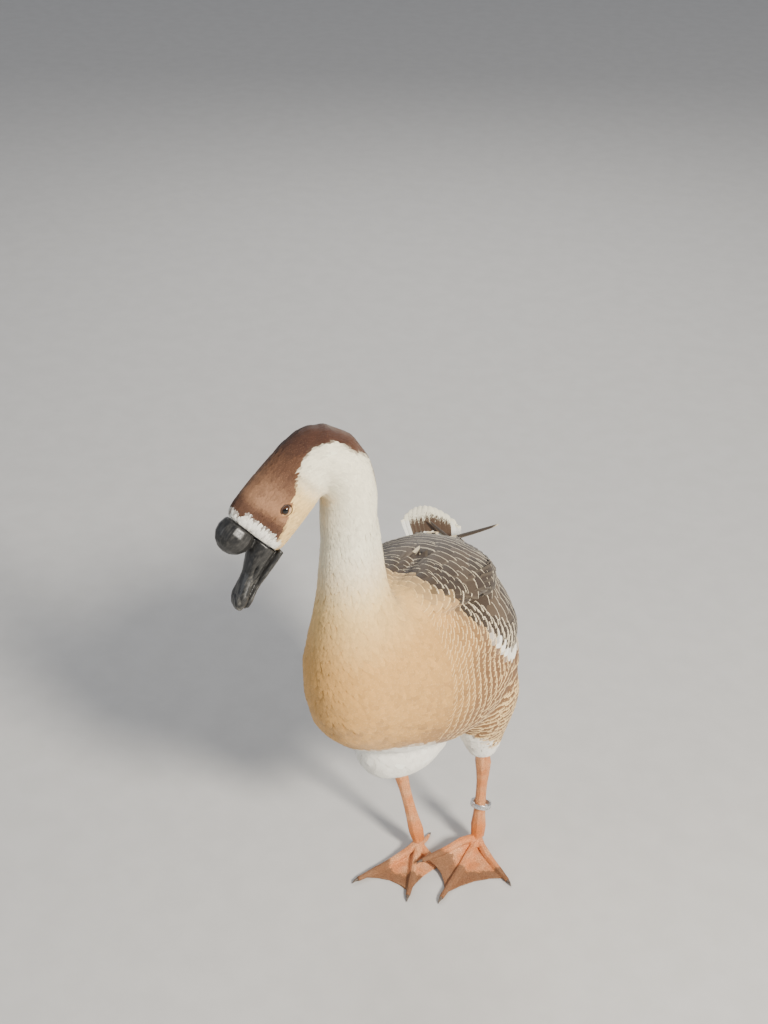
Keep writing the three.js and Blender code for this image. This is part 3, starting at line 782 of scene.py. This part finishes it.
def march(roots, lengths, turns, along):
    """Lines laid back over the skin from their roots: places, normals, ways across, places in the layout."""
    spot, normal, face = nearest(roots)
    heading, across = headings(spot, normal, turns)
    stations = []
    for step in np.diff(along, prepend=0):
        if step > 0:
            spot, normal, _ = nearest(spot + heading * (lengths * step)[:, None])
            heading, across = headings(spot, normal, turns)
        stations.append((spot, normal, across))
    return [np.array(values) for values in zip(*stations)] + [face_uv[face]]


def vane_places(shape, lines, widths, rises, thick, camber, tip_lift):
    """Where each vane's vertices lie along its line."""
    across, part, up = shape["places"].T
    which = np.searchsorted(shape["along"], np.round(part, 6))
    spot, normal, aside = (values[which].transpose(1, 0, 2) for values in lines[:3])
    height = (rises[:, None] * (part ** RISE_CURVE + tip_lift * np.clip(part - LIFT_FROM, 0, 1)) + thick * up
              - camber * across ** 2)
    return spot + aside * (widths[:, None] / 2 * across)[..., None] + normal * height[..., None]


def grown(name, shape, lines, widths, rises, thick, camber, colours, replaced=(), tip_lift=0.,
          pale_from=NOWHERE):
    """Vanes along their lines, joined in one piece. Sizes are in metres.

    pale_from is where along the vane the fringe colour takes all its width.
    """
    coords = vane_places(shape, lines, widths, rises, thick, camber, tip_lift)
    count, around = coords.shape[:2]
    sizes = np.array([len(face) for face in shape["faces"]])
    corners = np.concatenate(shape["faces"])
    loops = (corners + np.arange(count)[:, None] * around).ravel()
    mesh = bpy.data.meshes.new(name)
    mesh.vertices.add(count * around)
    mesh.vertices.foreach_set("co", coords.astype(np.float32).ravel())
    mesh.loops.add(len(loops))
    mesh.loops.foreach_set("vertex_index", loops.astype(np.int32))
    mesh.polygons.add(count * len(sizes))
    starts = np.concatenate(([0], np.cumsum(np.tile(sizes, count))[:-1]))
    mesh.polygons.foreach_set("loop_start", starts.astype(np.int32))
    mesh.update(calc_edges=True)
    mesh.validate()

    across, part, _ = shape["places"].T
    vane_uv = np.tile(np.column_stack((shape["edge"], part))[corners], (count, 1))
    patch = np.column_stack((np.clip(across, -1, 1) * PATCH_WIDTH, (part - .5) * PATCH_LENGTH))[corners]
    bake_uv = np.clip((lines[3][:, None] + patch[None]).reshape(-1, 2), 0, 1)
    for layer, values in (("Vane", vane_uv), ("OFBake", bake_uv)):
        mesh.uv_layers.new(name=layer).data.foreach_set("uv", values.astype(np.float32).ravel())
    body, fringe, strength = colours
    for layer, values, alpha in (("Feather", body, np.full(count, pale_from)), ("Fringe", fringe, strength)):
        note(mesh, layer, np.repeat(np.column_stack((values, alpha)), around, axis=0))
    shade_smooth(mesh, VANE_CREASE)
    show(name, mesh, "plumage", replaced)


def shaded(colours, spread):
    """The same markings, each vane a little lighter or darker."""
    body, fringe, strength = colours
    tone = 1 + dice.normal(0, spread, (len(body), 1))
    return np.clip(body * tone, 0, 1), np.clip(fringe * (1 + (tone - 1) * .4), 0, 1), strength


# ---- the coat

# spacing, length and width of the fine vanes by how far behind the bill they are, in millimetres
SPACING = [(30, 1.7), (60, 1.8), (110, 2), (180, 2.3), (290, 2.8), (340, 3.3), (400, 3.9), (480, 4.6)]
LENGTH = [(30, 6.5), (60, 8.5), (110, 11), (180, 14), (290, 18), (340, 21), (400, 25), (480, 30)]
WIDTH = [(30, 2.5), (60, 2.8), (110, 3.1), (180, 3.5), (290, 4.6), (340, 5.8), (400, 7.5), (480, 10)]

# the shares of these that vanes low on the thighs have, by height
THIGH_LENGTH, THIGH_WIDTH = [(150, .45), (200, .8), (260, 1)], [(150, .6), (210, 1)]
NECK_FROM, NECK_MIDDLE, BREAST_FROM = 105, 200, 300     # along the body
BREAST_SPLIT, BELLY_TOP = 375, 235                      # heights

BILL_FROM, CHIN_LOW = 37.5, 545     # no vanes ahead of here on the head
CANDIDATES = 10                     # roots tried for each one kept, more or less
EYE_CLEARANCE = 1.1

# the rows on back, wings and flanks, from ROWS_FROM to ROWS_TO along Y
ROWS_FROM, ROWS_TO, ROWS_LOW = -94, 232, 205
ROWS_MIDDLE = [(-94, 345), (0, 310), (180, 320), (232, 330)]
FLANK_ROWS, BACK_ROWS = (7.6, 7.4), (11, 14)      # from row to row, and along a row
ROW_LENGTH, ROW_WIDTH = [(-94, .34), (10, 1), (180, 1), (232, .62)], [(-94, .7), (0, 1), (200, .9), (232, .7)]
RAY, RAY_STEP = .4, 1.5             # metres, degrees
DIP_FROM, DIP_HALF, FRONT_DEPTH = 96, 42, 14


def in_rows(points):
    """Where the coat lies in even rows: back, wings and flanks."""
    _, y, z = told(points).T
    return (y > ROWS_FROM - 4) & (z > read(y, BELLY_EDGE) + 6) & (z > ROWS_LOW)


def scatter(mesh):
    """Random roots over the skin, each its own spacing from the next."""
    mesh.calc_loop_triangles()
    corners = np.empty(len(mesh.loop_triangles) * 3, np.int32)
    mesh.loop_triangles.foreach_get("vertices", corners)
    a, b, c = spots(mesh)[corners.reshape(-1, 3)].transpose(1, 0, 2)
    middle = (a + b + c) / 3
    spacing = in_blocks(lambda block: read(along_body(block), SPACING), middle) * MM
    share = np.linalg.norm(np.cross(b - a, c - a), axis=1) / 2 / spacing ** 2
    forward, _, _ = on_head(middle)
    share[in_rows(middle) | ((forward > BILL_FROM) & (told(middle)[:, 2] > CHIN_LOW))] = 0
    count = int(share.sum() * CANDIDATES)
    chosen = dice.choice(len(share), count, p=share / share.sum())
    u, v = dice.random((2, count, 1))
    u, v = np.where(u + v > 1, 1 - u, u), np.where(u + v > 1, 1 - v, v)
    roots, spacing = a[chosen] + (b - a)[chosen] * u + (c - a)[chosen] * v, spacing[chosen]
    tree = KDTree(count)
    for index, root in enumerate(roots):
        tree.insert(root, index)
    tree.balance()
    free, kept = np.ones(count, bool), []
    for index, (root, apart) in enumerate(zip(roots, spacing)):
        if free[index]:
            kept.append(index)
            for _, other, _ in tree.find_range(root, apart):
                free[other] = False
    return roots[kept]


def rowed(pitch, step):
    """Roots in rows across the back and down the flanks, staggered from row to row."""
    roots = []
    for row, y in enumerate(np.arange(ROWS_FROM, ROWS_TO, pitch)):
        middle = Vector(at(bent(0, y, read(y, ROWS_MIDDLE)))[0])
        hits = []
        for angle in np.radians(np.arange(180, 541, RAY_STEP)):
            out = Vector((math.sin(angle), 0, math.cos(angle)))
            spot = skin_tree.ray_cast(middle + RAY * out, -out, RAY)[0]
            if spot:
                hits.append(spot)
        if len(hits) < 3:
            continue
        hits = np.array(hits)
        lengths = distances(hits) / MM
        steps = np.arange((row % 2) * step / 2, lengths[-1], step) + dice.normal(0, step / 9)
        roots.append(on_line(hits, lengths, steps))
    roots = np.vstack(roots)
    return roots[in_rows(roots)]


def clear_of_eyes(places):
    """Which lines keep off the eyes."""
    gap = np.min([np.linalg.norm(places - eye, axis=-1).min(0) for eye in EYES.values()], axis=0)
    return gap > (EYE_RADIUS + EYE_CLEARANCE) * MM


def pick(lines, mask):
    return [values[:, mask] for values in lines[:3]] + [lines[3][mask]]


def fine_coat():
    """The short coat of head, neck, breast, belly and thighs."""
    roots = scatter(skin_mesh)
    behind = in_blocks(along_body, roots)
    count = len(roots)
    z = told(roots)[:, 2]
    length = read(behind, LENGTH) * read(z, THIGH_LENGTH) * dice.uniform(.85, 1.15, count) * MM
    width = read(behind, WIDTH) * read(z, THIGH_WIDTH) * dice.uniform(.85, 1.1, count) * MM
    lines = march(roots, length, dice.normal(0, .055, count), SMALL["along"])
    depth = in_blocks(depth_at, roots) * MM
    keep = clear_of_eyes(lines[0])
    colours = shaded(markings(lines[0][-2]), .055)
    lower = behind >= BREAST_FROM
    zones = (("coat_head", behind < NECK_FROM, .22),
             ("coat_neck_upper", (behind >= NECK_FROM) & (behind < NECK_MIDDLE), .25),
             ("coat_neck_lower", (behind >= NECK_MIDDLE) & ~lower, .3),
             ("coat_breast_upper", lower & (z > BREAST_SPLIT), .34),
             ("coat_breast_lower", lower & (z > BELLY_TOP) & (z <= BREAST_SPLIT), .34),
             ("coat_belly", lower & (z <= BELLY_TOP), .34))
    for name, zone, thick in zones:
        mask = zone & keep
        grown(name, SMALL, pick(lines, mask), width[mask], depth[mask] * dice.uniform(.95, 1.02, mask.sum()),
              thick * MM, 0, [values[mask] for values in colours])


def darkened(roots):
    """Which roots belong to the back and wings."""
    x, y, z = told(roots).T
    return (z > read(y, WING_EDGE) + 3) & (y > wing_front(x, y) - FRONT_DEPTH)


def between_wings(roots):
    """Which roots lie on the lower back, in the dip between the wings' ends."""
    x, y, _ = told(roots).T
    return (y > DIP_FROM) & (np.abs(x - middle_of(y)) < DIP_HALF) & darkened(roots)


def along_front(roots):
    """Which roots lie at the front edge of the dark back, where smaller vanes cover the quills."""
    x, y, _ = told(roots).T
    return darkened(roots) & (y < wing_front(x, y) + FRONT_DEPTH)


def rowed_coat():
    """Back, wing and flank vanes, broad and square at the tip."""
    flank, back = rowed(*FLANK_ROWS), rowed(*BACK_ROWS)
    flank = flank[~darkened(flank) | between_wings(flank) | along_front(flank)]
    roots = np.vstack([flank, back[darkened(back) & ~between_wings(back)]])
    count = len(roots)
    x, y, _ = told(roots).T
    dark = darkened(roots)
    small = dark & (np.arange(count) < len(flank))
    length = (38 + 16 * dark) * read(y, ROW_LENGTH) * dice.uniform(.96, 1.04, count) * MM
    width = (18 + 9 * dark) * read(y, ROW_WIDTH) * dice.uniform(.93, 1.07, count) * MM
    length[small] *= np.where(y[small] < 0, .75, .5)
    width[small] *= np.where(y[small] < 0, .6, .5)
    lines = march(roots, length, dice.normal(0, .035, count), SQUARE["along"])
    depth = in_blocks(depth_at, roots) * MM
    colours = shaded(markings(lines[0][-2]), .05)
    colours[2][small & (y > 0)] *= .25
    left = x > middle_of(y)
    # name, which vanes, thickness, camber, lift of the tip, where the fringe takes all the width
    zones = (("coat_back", dark, .5, 1.2, .3, NOWHERE), ("coat_flank_left", ~dark & left, .36, .9, 0., 1.01),
             ("coat_flank_right", ~dark & ~left, .36, .9, 0., 1.01))
    for name, mask, thick, camber, lift, pale_from in zones:
        grown(name, SQUARE, pick(lines, mask), width[mask], depth[mask] * dice.uniform(.94, 1.06, mask.sum()),
              thick * MM, camber * MM, [values[mask] for values in colours], (), lift, pale_from)


fine_coat()
rowed_coat()


# ---- long feathers

TAIL_FEATHERS = 12
OVER_SKIN = [(0, .5), (.4, 3.6), (1, 5.2)]      # a laid feather's height over the skin, along it
DROP = .02                                      # the most that it is dropped, in metres

TERTIAL_PATH = [(56, 60, 374), (46, 122, 359), (32, 184, 328)]
PRIMARY_PATHS = {"left": [(60, 110, 340), (42, 160, 336), (18, 204, 334), (-4, 232, 337)],
                 "right": [(60, 110, 342), (32, 158, 340), (-24, 194, 344), (-80, 214, 357)]}
PRIMARY_WIDTHS = {"left": 5, "right": 8}

# each feather: how far across and up from its path, how much of it, and its width, which for
# the primaries comes on top of the side's own
TERTIALS = [(-24, 1, .84, 21), (-18, 1, .9, 22), (-12, 1, .95, 22), (-6, .6, 1, 21), (0, 0, .98, 20),
            (6, -1.6, .93, 18), (11, -5, .86, 16)]
PRIMARIES = [(1, -1.2, .84, 1), (.4, -.6, .93, .5), (0, 0, 1, 0)]


def threaded(paths, along, tilts, reaches):
    """Smooth lines along paths, each as far as it reaches and tilted about its length."""
    places, normals, acrosses = [], [], []
    for path, tilt, reach in zip(paths, tilts, reaches):
        grid, degree = np.linspace(0, 1, len(path)), min(3, len(path) - 1)
        line = np.column_stack([np.polyval(np.polyfit(grid, path[:, axis], degree), along * reach)
                                for axis in range(3)])
        way = unit(np.gradient(line, axis=0))
        across = unit(np.cross((math.sin(tilt), 0, math.cos(tilt)), way))
        places.append(line)
        normals.append(unit(np.cross(way, across)))
        acrosses.append(-across)
    return [np.array(values).transpose(1, 0, 2) for values in (places, normals, acrosses)]


def long_feathers(name, paths, widths, tilts, reaches, colours, thick, camber, replaced, pale_from=NOWHERE):
    """Single long feathers along their paths, each in its own colours."""
    lines = threaded(paths, LONG["along"], tilts, reaches)
    lines.append(face_uv[nearest([path[0] for path in paths])[2]])
    colours = shaded([np.array(values) for values in colours], .05)
    grown(name, LONG, lines, np.array(widths) * MM, np.zeros(len(paths)), thick * MM, camber * MM, colours,
          replaced, pale_from=pale_from)


def tail_fan():
    """The tail feathers, the middle pair uppermost, brown but for the white outer ones."""
    paths, tilts, body = [], [], []
    outermost = (TAIL_FEATHERS - 1) / 2
    for number in range(TAIL_FEATHERS):
        out = number - outermost
        share = abs(out) / outermost
        rise = -4.2 * share
        spread = out * 5.9
        paths.append(at(bent(out * 2.2, 160, 310 + rise), bent(out * 3.6, 195, 316 + rise),
                        bent(spread * .86, 230, 329 + rise),
                        bent(spread, 262 - 22 * share ** 3, 340 + rise - .006 * spread ** 2)))
        tilts.append(-out * .05)
        body.append(WHITE if share > .7 else TAIL_BROWN)
    ones, fringes = [1.] * TAIL_FEATHERS, [PALE_CREAM] * TAIL_FEATHERS
    long_feathers("tail_fan", paths, [17] * TAIL_FEATHERS, tilts, ones, (body, fringes, ones), 1.1, 1.2,
                  ["tail"], pale_from=.86)


def laid(line):
    """The line dropped on the coat, from just under it at the root to just over it at the tip."""
    part = np.linspace(0, 1, 7)
    line = on_line(line, np.linspace(0, 1, len(line)), part)
    for step, place in zip(part, line):
        hit = skin_tree.ray_cast(Vector((place[0], place[1], .5)), Vector((0, 0, -1)))[0]
        if hit and hit.z > place[2] - DROP:
            place[2] = hit.z + read(step, OVER_SKIN) * MM
    return line


def wing_feathers(name, side, path, feathers, tilt, thick, replaced, on_skin=False):
    """Long wing feathers lying one over the next."""
    lines = [at(*[bent(side * (x + across), y, z + up) for x, y, z in path]) for across, up, _, _ in feathers]
    if on_skin:
        lines = [laid(line) for line in lines]
    _, _, reaches, widths = zip(*feathers)
    count = len(feathers)
    long_feathers(name, lines, widths, [side * tilt] * count, reaches,
                  ([SLATE] * count, [FRINGE] * count, [.8] * count), thick, 1, [replaced])


tail_fan()
for label, side in SIDES:
    wing_feathers(f"tertials_{label}", side, TERTIAL_PATH, TERTIALS, .2, .9, f"wing_{label}_tertials", True)
for label, side in SIDES:
    feathers = [(*spot, PRIMARY_WIDTHS[label] + more) for *spot, more in PRIMARIES]
    wing_feathers(f"primaries_{label}", side, PRIMARY_PATHS[label], feathers, .1, .8,
                  f"wing_{label}_primaries")


# ---- bill and knob

BILL_VOXEL, BILL_ROUNDS = .65, 14
NAIL_AT, NAIL_LONG = 103, 1.2       # the nail's middle, and how much longer than wide it is


def dent(*reaches):
    """1 in the middle of a hollow or a hump, and 0 a few reaches away."""
    return np.exp(-sum(reach ** 2 for reach in reaches))


def bill_relief(forward, up, side):
    """Nostrils sunk in their long hollows, a spoon-shaped end, and the raised nail at the tip."""
    out = np.abs(side)
    slot = dent((forward - 66) / 9, (up + 21 + .3 * (forward - 66)) / 2.6) * smooth(3, 6, out)
    pit = dent((forward - 64) / 4.6, (up + 20.4 + .3 * (forward - 64)) / 1.3) * smooth(4, 7, out)
    from_nail = np.hypot((forward - NAIL_AT) / NAIL_LONG, side)
    groove = dent((from_nail - 8) / .8) * smooth(90, 94, forward)
    nail = smooth(8.5, 6, from_nail) * smooth(90, 96, forward)
    spoon = smooth(2, 9, out) * (1.7 * dent((forward - 96) / 10) - dent((forward - 74) / 9))
    return spoon * smooth(62, 72, forward) - 1.3 * slot - 2.2 * pit - .5 * groove + .4 * nail


def bill_and_knob():
    """One horny skin, worn towards the tip."""
    nodes = ["bill_upper", "bill_lower", "knob"]
    mesh = softened(joined(nodes), BILL_VOXEL, BILL_ROUNDS)
    places = spots(mesh)
    forward, up, side = on_head(places)
    move(mesh, places + spots(mesh, "normal") * (bill_relief(forward, up, side) * MM)[:, None])
    note(mesh, "Head", np.column_stack((side, -forward, up)) * MM)
    note(mesh, "Worn", smooth(45, 95, forward) * smooth(4, -8, up))
    show("bill_and_knob", mesh, "bill", nodes)


bill_and_knob()


# ---- eyes

# the lids' section: how far from the opening to the outer edge, and how high over the eyeball
LID_EDGE = [(0, -.3), (-.03, .15), (.02, .5), (.14, .7), (.34, .62), (.65, .3), (1, -.1), (1, -1), (.3, -1),
            (0, -.3)]
LID_LONG, LID_HIGH, LID_ROUND = 5.1, 3.2, 1.7       # the opening's half length and height, and its roundness
LID_REACH = 1.3                                     # where the lids end, as an angle from the eye's axis
LOOK = Vector((.93, -.30, .16))                     # where the left eye looks, in the head
LID_UP = Vector((0, -.45, 1))


def eyeball(label, seat):
    """A round eye, fuller over the iris."""
    bm = bmesh.new()
    bmesh.ops.create_uvsphere(bm, u_segments=48, v_segments=32, radius=(EYE_RADIUS - .1) * MM)
    iris = []
    for vert in bm.verts:
        flat = vert.co.normalized()
        iris.append((math.acos(max(-1, min(1, flat.z))), math.atan2(flat.y, flat.x), 0))
        vert.co *= 1 + .05 * smooth(.8, 1, flat.z)
    bmesh.ops.transform(bm, matrix=seat, verts=bm.verts)
    bmesh.ops.recalc_face_normals(bm, faces=bm.faces)
    mesh = as_mesh(bm, f"eyeball_{label}")
    note(mesh, "Iris", np.array(iris))
    shade_smooth(mesh)
    show(f"eyeball_{label}", mesh, "eye", [f"eye_{label}"])


def lids(label, side, seat):
    """The rim of both lids round an almond opening."""
    bm = bmesh.new()
    bmesh.ops.create_grid(bm, x_segments=64, y_segments=len(LID_EDGE) - 1, size=.5)
    for vert in bm.verts:
        around = (vert.co.x + .5) * math.tau
        part, lift = LID_EDGE[round((vert.co.y + .5) * (len(LID_EDGE) - 1))]
        long, high = abs(math.cos(around)) / LID_LONG, abs(math.sin(around)) / LID_HIGH
        start = math.asin((long ** LID_ROUND + high ** LID_ROUND) ** (-1 / LID_ROUND) / EYE_RADIUS)
        angle, radius = start + part * (LID_REACH - start), (EYE_RADIUS + lift) * MM
        vert.co = (radius * math.sin(angle) * math.cos(around), radius * math.sin(angle) * math.sin(around),
                   radius * math.cos(angle))
    bmesh.ops.remove_doubles(bm, verts=bm.verts, dist=1e-6)
    pale = []
    for vert in bm.verts:
        x, y, _ = vert.co.normalized()
        pale.append(smooth(.1, -.4, y + .5 * side * x) * smooth(.98, .8, math.hypot(x, y)))
    bmesh.ops.transform(bm, matrix=seat, verts=bm.verts)
    bmesh.ops.recalc_face_normals(bm, faces=bm.faces)
    mesh = as_mesh(bm, f"lids_{label}")
    note(mesh, "Pale", np.array(pale))
    shade_smooth(mesh)
    show(f"lids_{label}", mesh, "lid")


def eye(label, side):
    """The eye with its pupil outward, and its lids level with the head."""
    outward = (HEAD.to_3x3() @ Vector((side * LOOK.x, LOOK.y, LOOK.z)).normalized()).normalized()
    turn = outward.to_track_quat("Z", "Y").to_matrix()
    seat = Matrix.Translation(EYES[label]) @ turn.to_4x4()
    eyeball(label, seat)
    head_up = turn.inverted() @ (HEAD.to_3x3() @ LID_UP)
    lean = math.atan2(head_up.y, head_up.x) - math.pi / 2
    lids(label, side, seat @ Matrix.Rotation(lean, 4, "Z"))


for label, side in SIDES:
    eye(label, side)


# ---- legs

TOES = ("inner", "middle", "outer", "hind")
LEG_VOXEL, CLAW_VOXEL, LEG_ROUNDS = .85, .45, 3
TOE_ROOT, TOE_TIP, SCUTE = 8, 5, 2.7        # heights of a toe's middle line, and the length of a scute
RING_OUTER, RING_INNER, RING_HEIGHT, RING_EDGE = 12.6 * MM, 10.6 * MM, 6 * MM, .5 * MM
RING_DOWN, RING_OFF, RING_TILT = .53, (1, -.4, 0), (-.34, .08)     # its part down the shank, off it, tilted


def near_line(points, start, end):
    """How far each point is from a line, and how far along it, in millimetres."""
    start, end = np.asarray(start, float), np.asarray(end, float)
    run = end - start
    part = np.clip((points - start) @ run / (run @ run), 0, 1)
    return np.linalg.norm(points - (start + part[:, None] * run), axis=1), part * np.linalg.norm(run)


def leg(label):
    """Shank, toes and webs in one scaly skin, and the claws."""
    nodes = [f"shank_{label}", *[f"toe_{label}_{toe}" for toe in TOES],
             f"web_{label}_inner", f"web_{label}_middle"]
    mesh = softened(joined(nodes), LEG_VOXEL, LEG_ROUNDS)
    places = told(spots(mesh))
    height = places[:, 2]
    ankle = np.array(ANKLES[label][:2], float)
    gaps, runs = zip(*[near_line(places, (*ankle, TOE_ROOT), (*toe, TOE_TIP)) for toe in TOE_TIPS[label]])
    gaps, runs = np.array(gaps), np.array(runs)
    toe_run = runs[gaps.argmin(0), np.arange(len(places))]
    on_toe = smooth(8, 4, gaps.min(0)) * smooth(30, 22, height)
    on_shank = smooth(20, 30, height)
    wave = np.abs(np.sin(np.where(on_shank > .5, height, toe_run) * math.pi / SCUTE))
    away = np.linalg.norm(places[:, :2] - ankle, axis=1)
    note(mesh, "Bands", 1 - (1 - wave) * np.clip(on_toe + .55 * on_shank, 0, 1))
    note(mesh, "Soil", smooth(24, 66, away) * smooth(40, 20, height) * 1.05)
    note(mesh, "Warm", smooth(16, 26, height) * smooth(60, 34, height) * .75)
    show(f"leg_{label}", mesh, "leg", nodes)
    claws = [f"claw_{label}_{toe}" for toe in TOES]
    show(f"claws_{label}", softened(joined(claws), CLAW_VOXEL, LEG_ROUNDS), "claw", claws)


def leg_ring():
    """A plain metal ring, loose above the left foot."""
    hock, ankle = np.array(LEFT_HOCK), np.array(ANKLES["left"])
    centre = at(hock + (ankle - hock) * RING_DOWN + RING_OFF)[0]
    section = (Matrix.Translation(((RING_OUTER + RING_INNER) / 2, 0, 0))
               @ Matrix.Rotation(math.pi / 2, 4, "X")
               @ Matrix.Diagonal((RING_OUTER - RING_INNER, RING_HEIGHT, 1, 1)))
    bm = bmesh.new()
    bmesh.ops.create_grid(bm, x_segments=1, y_segments=1, size=.5, matrix=section)
    bmesh.ops.delete(bm, geom=bm.faces[:], context="FACES_ONLY")
    bmesh.ops.spin(bm, geom=bm.edges[:], axis=(0, 0, 1), cent=(0, 0, 0), angle=math.tau, steps=64,
                   use_merge=True)
    bmesh.ops.recalc_face_normals(bm, faces=bm.faces)
    creases = [edge for edge in bm.edges if len(edge.link_faces) == 2 and edge.calc_face_angle() > 1]
    bmesh.ops.bevel(bm, geom=creases, offset=RING_EDGE, affect="EDGES", segments=3, profile=.5, material=-1)
    tilt = Matrix.Rotation(RING_TILT[0], 4, "X") @ Matrix.Rotation(RING_TILT[1], 4, "Y")
    bmesh.ops.transform(bm, matrix=Matrix.Translation(centre) @ tilt, verts=bm.verts)
    mesh = as_mesh(bm, "leg_ring")
    shade_smooth(mesh, 40)
    show("leg_ring", mesh, "ring", ["leg_band"])


leg("left")
leg("right")
leg_ring()


# ---- floor, lights and camera

FOCAL, SENSOR = 1538 / 1024, 36     # the focal length in view heights, and that height in millimetres
EYE_POINT, SIGHT = Vector((.263, -1.335, 1.350)), Vector((-.205, .823, -.530))

# name, place, what it points at, size, power, colour
LAMPS = (("sun side", (1.9, -1.5, 1.9), (0, 0, .35), .6, 178, (1, .94, .84)),
         ("open side", (-2.1, -1.4, 1.6), (0, 0, .35), 1.8, 14, (.9, .95, 1)),
         ("behind", (-.4, 2.1, 1.8), (0, 0, .4), 1.2, 26, (1, .98, .95)))


def placed(name, data, place=(0, 0, 0), way=None):
    """Puts a lamp, a camera or a floor in the scene, turned to look along a way."""
    thing = bpy.data.objects.new(name, data)
    thing.location = place
    if way:
        thing.rotation_euler = way.to_track_quat("-Z", "Y").to_euler()
    bpy.context.collection.objects.link(thing)
    return thing


def floor():
    bm = bmesh.new()
    bmesh.ops.create_grid(bm, x_segments=8, y_segments=8, size=6)
    mesh = as_mesh(bm, "floor")
    mesh.materials.append(FINISHES["floor"])
    placed("floor", mesh)


def lamp(name, place, target, size, power, colour):
    light = bpy.data.lights.new(name, "AREA")
    light.shape, light.size, light.energy, light.color = "DISK", size, power, colour
    placed(name, light, place, Vector(target) - Vector(place))


def camera():
    lens = bpy.data.cameras.new("camera")
    lens.lens, lens.sensor_width = FOCAL * SENSOR, SENSOR
    bpy.context.scene.camera = placed("camera", lens, EYE_POINT + Vector(ORIGIN * MM), SIGHT)


def surroundings():
    """A pale, slightly blue sky."""
    world = bpy.data.worlds.new("surroundings")
    world.use_nodes = True
    sky = world.node_tree.nodes["Background"].inputs
    sky["Color"].default_value, sky["Strength"].default_value = (.86, .9, 1, 1), .4
    bpy.context.scene.world = world


floor()
camera()
surroundings()
for plan in LAMPS:
    lamp(*plan)
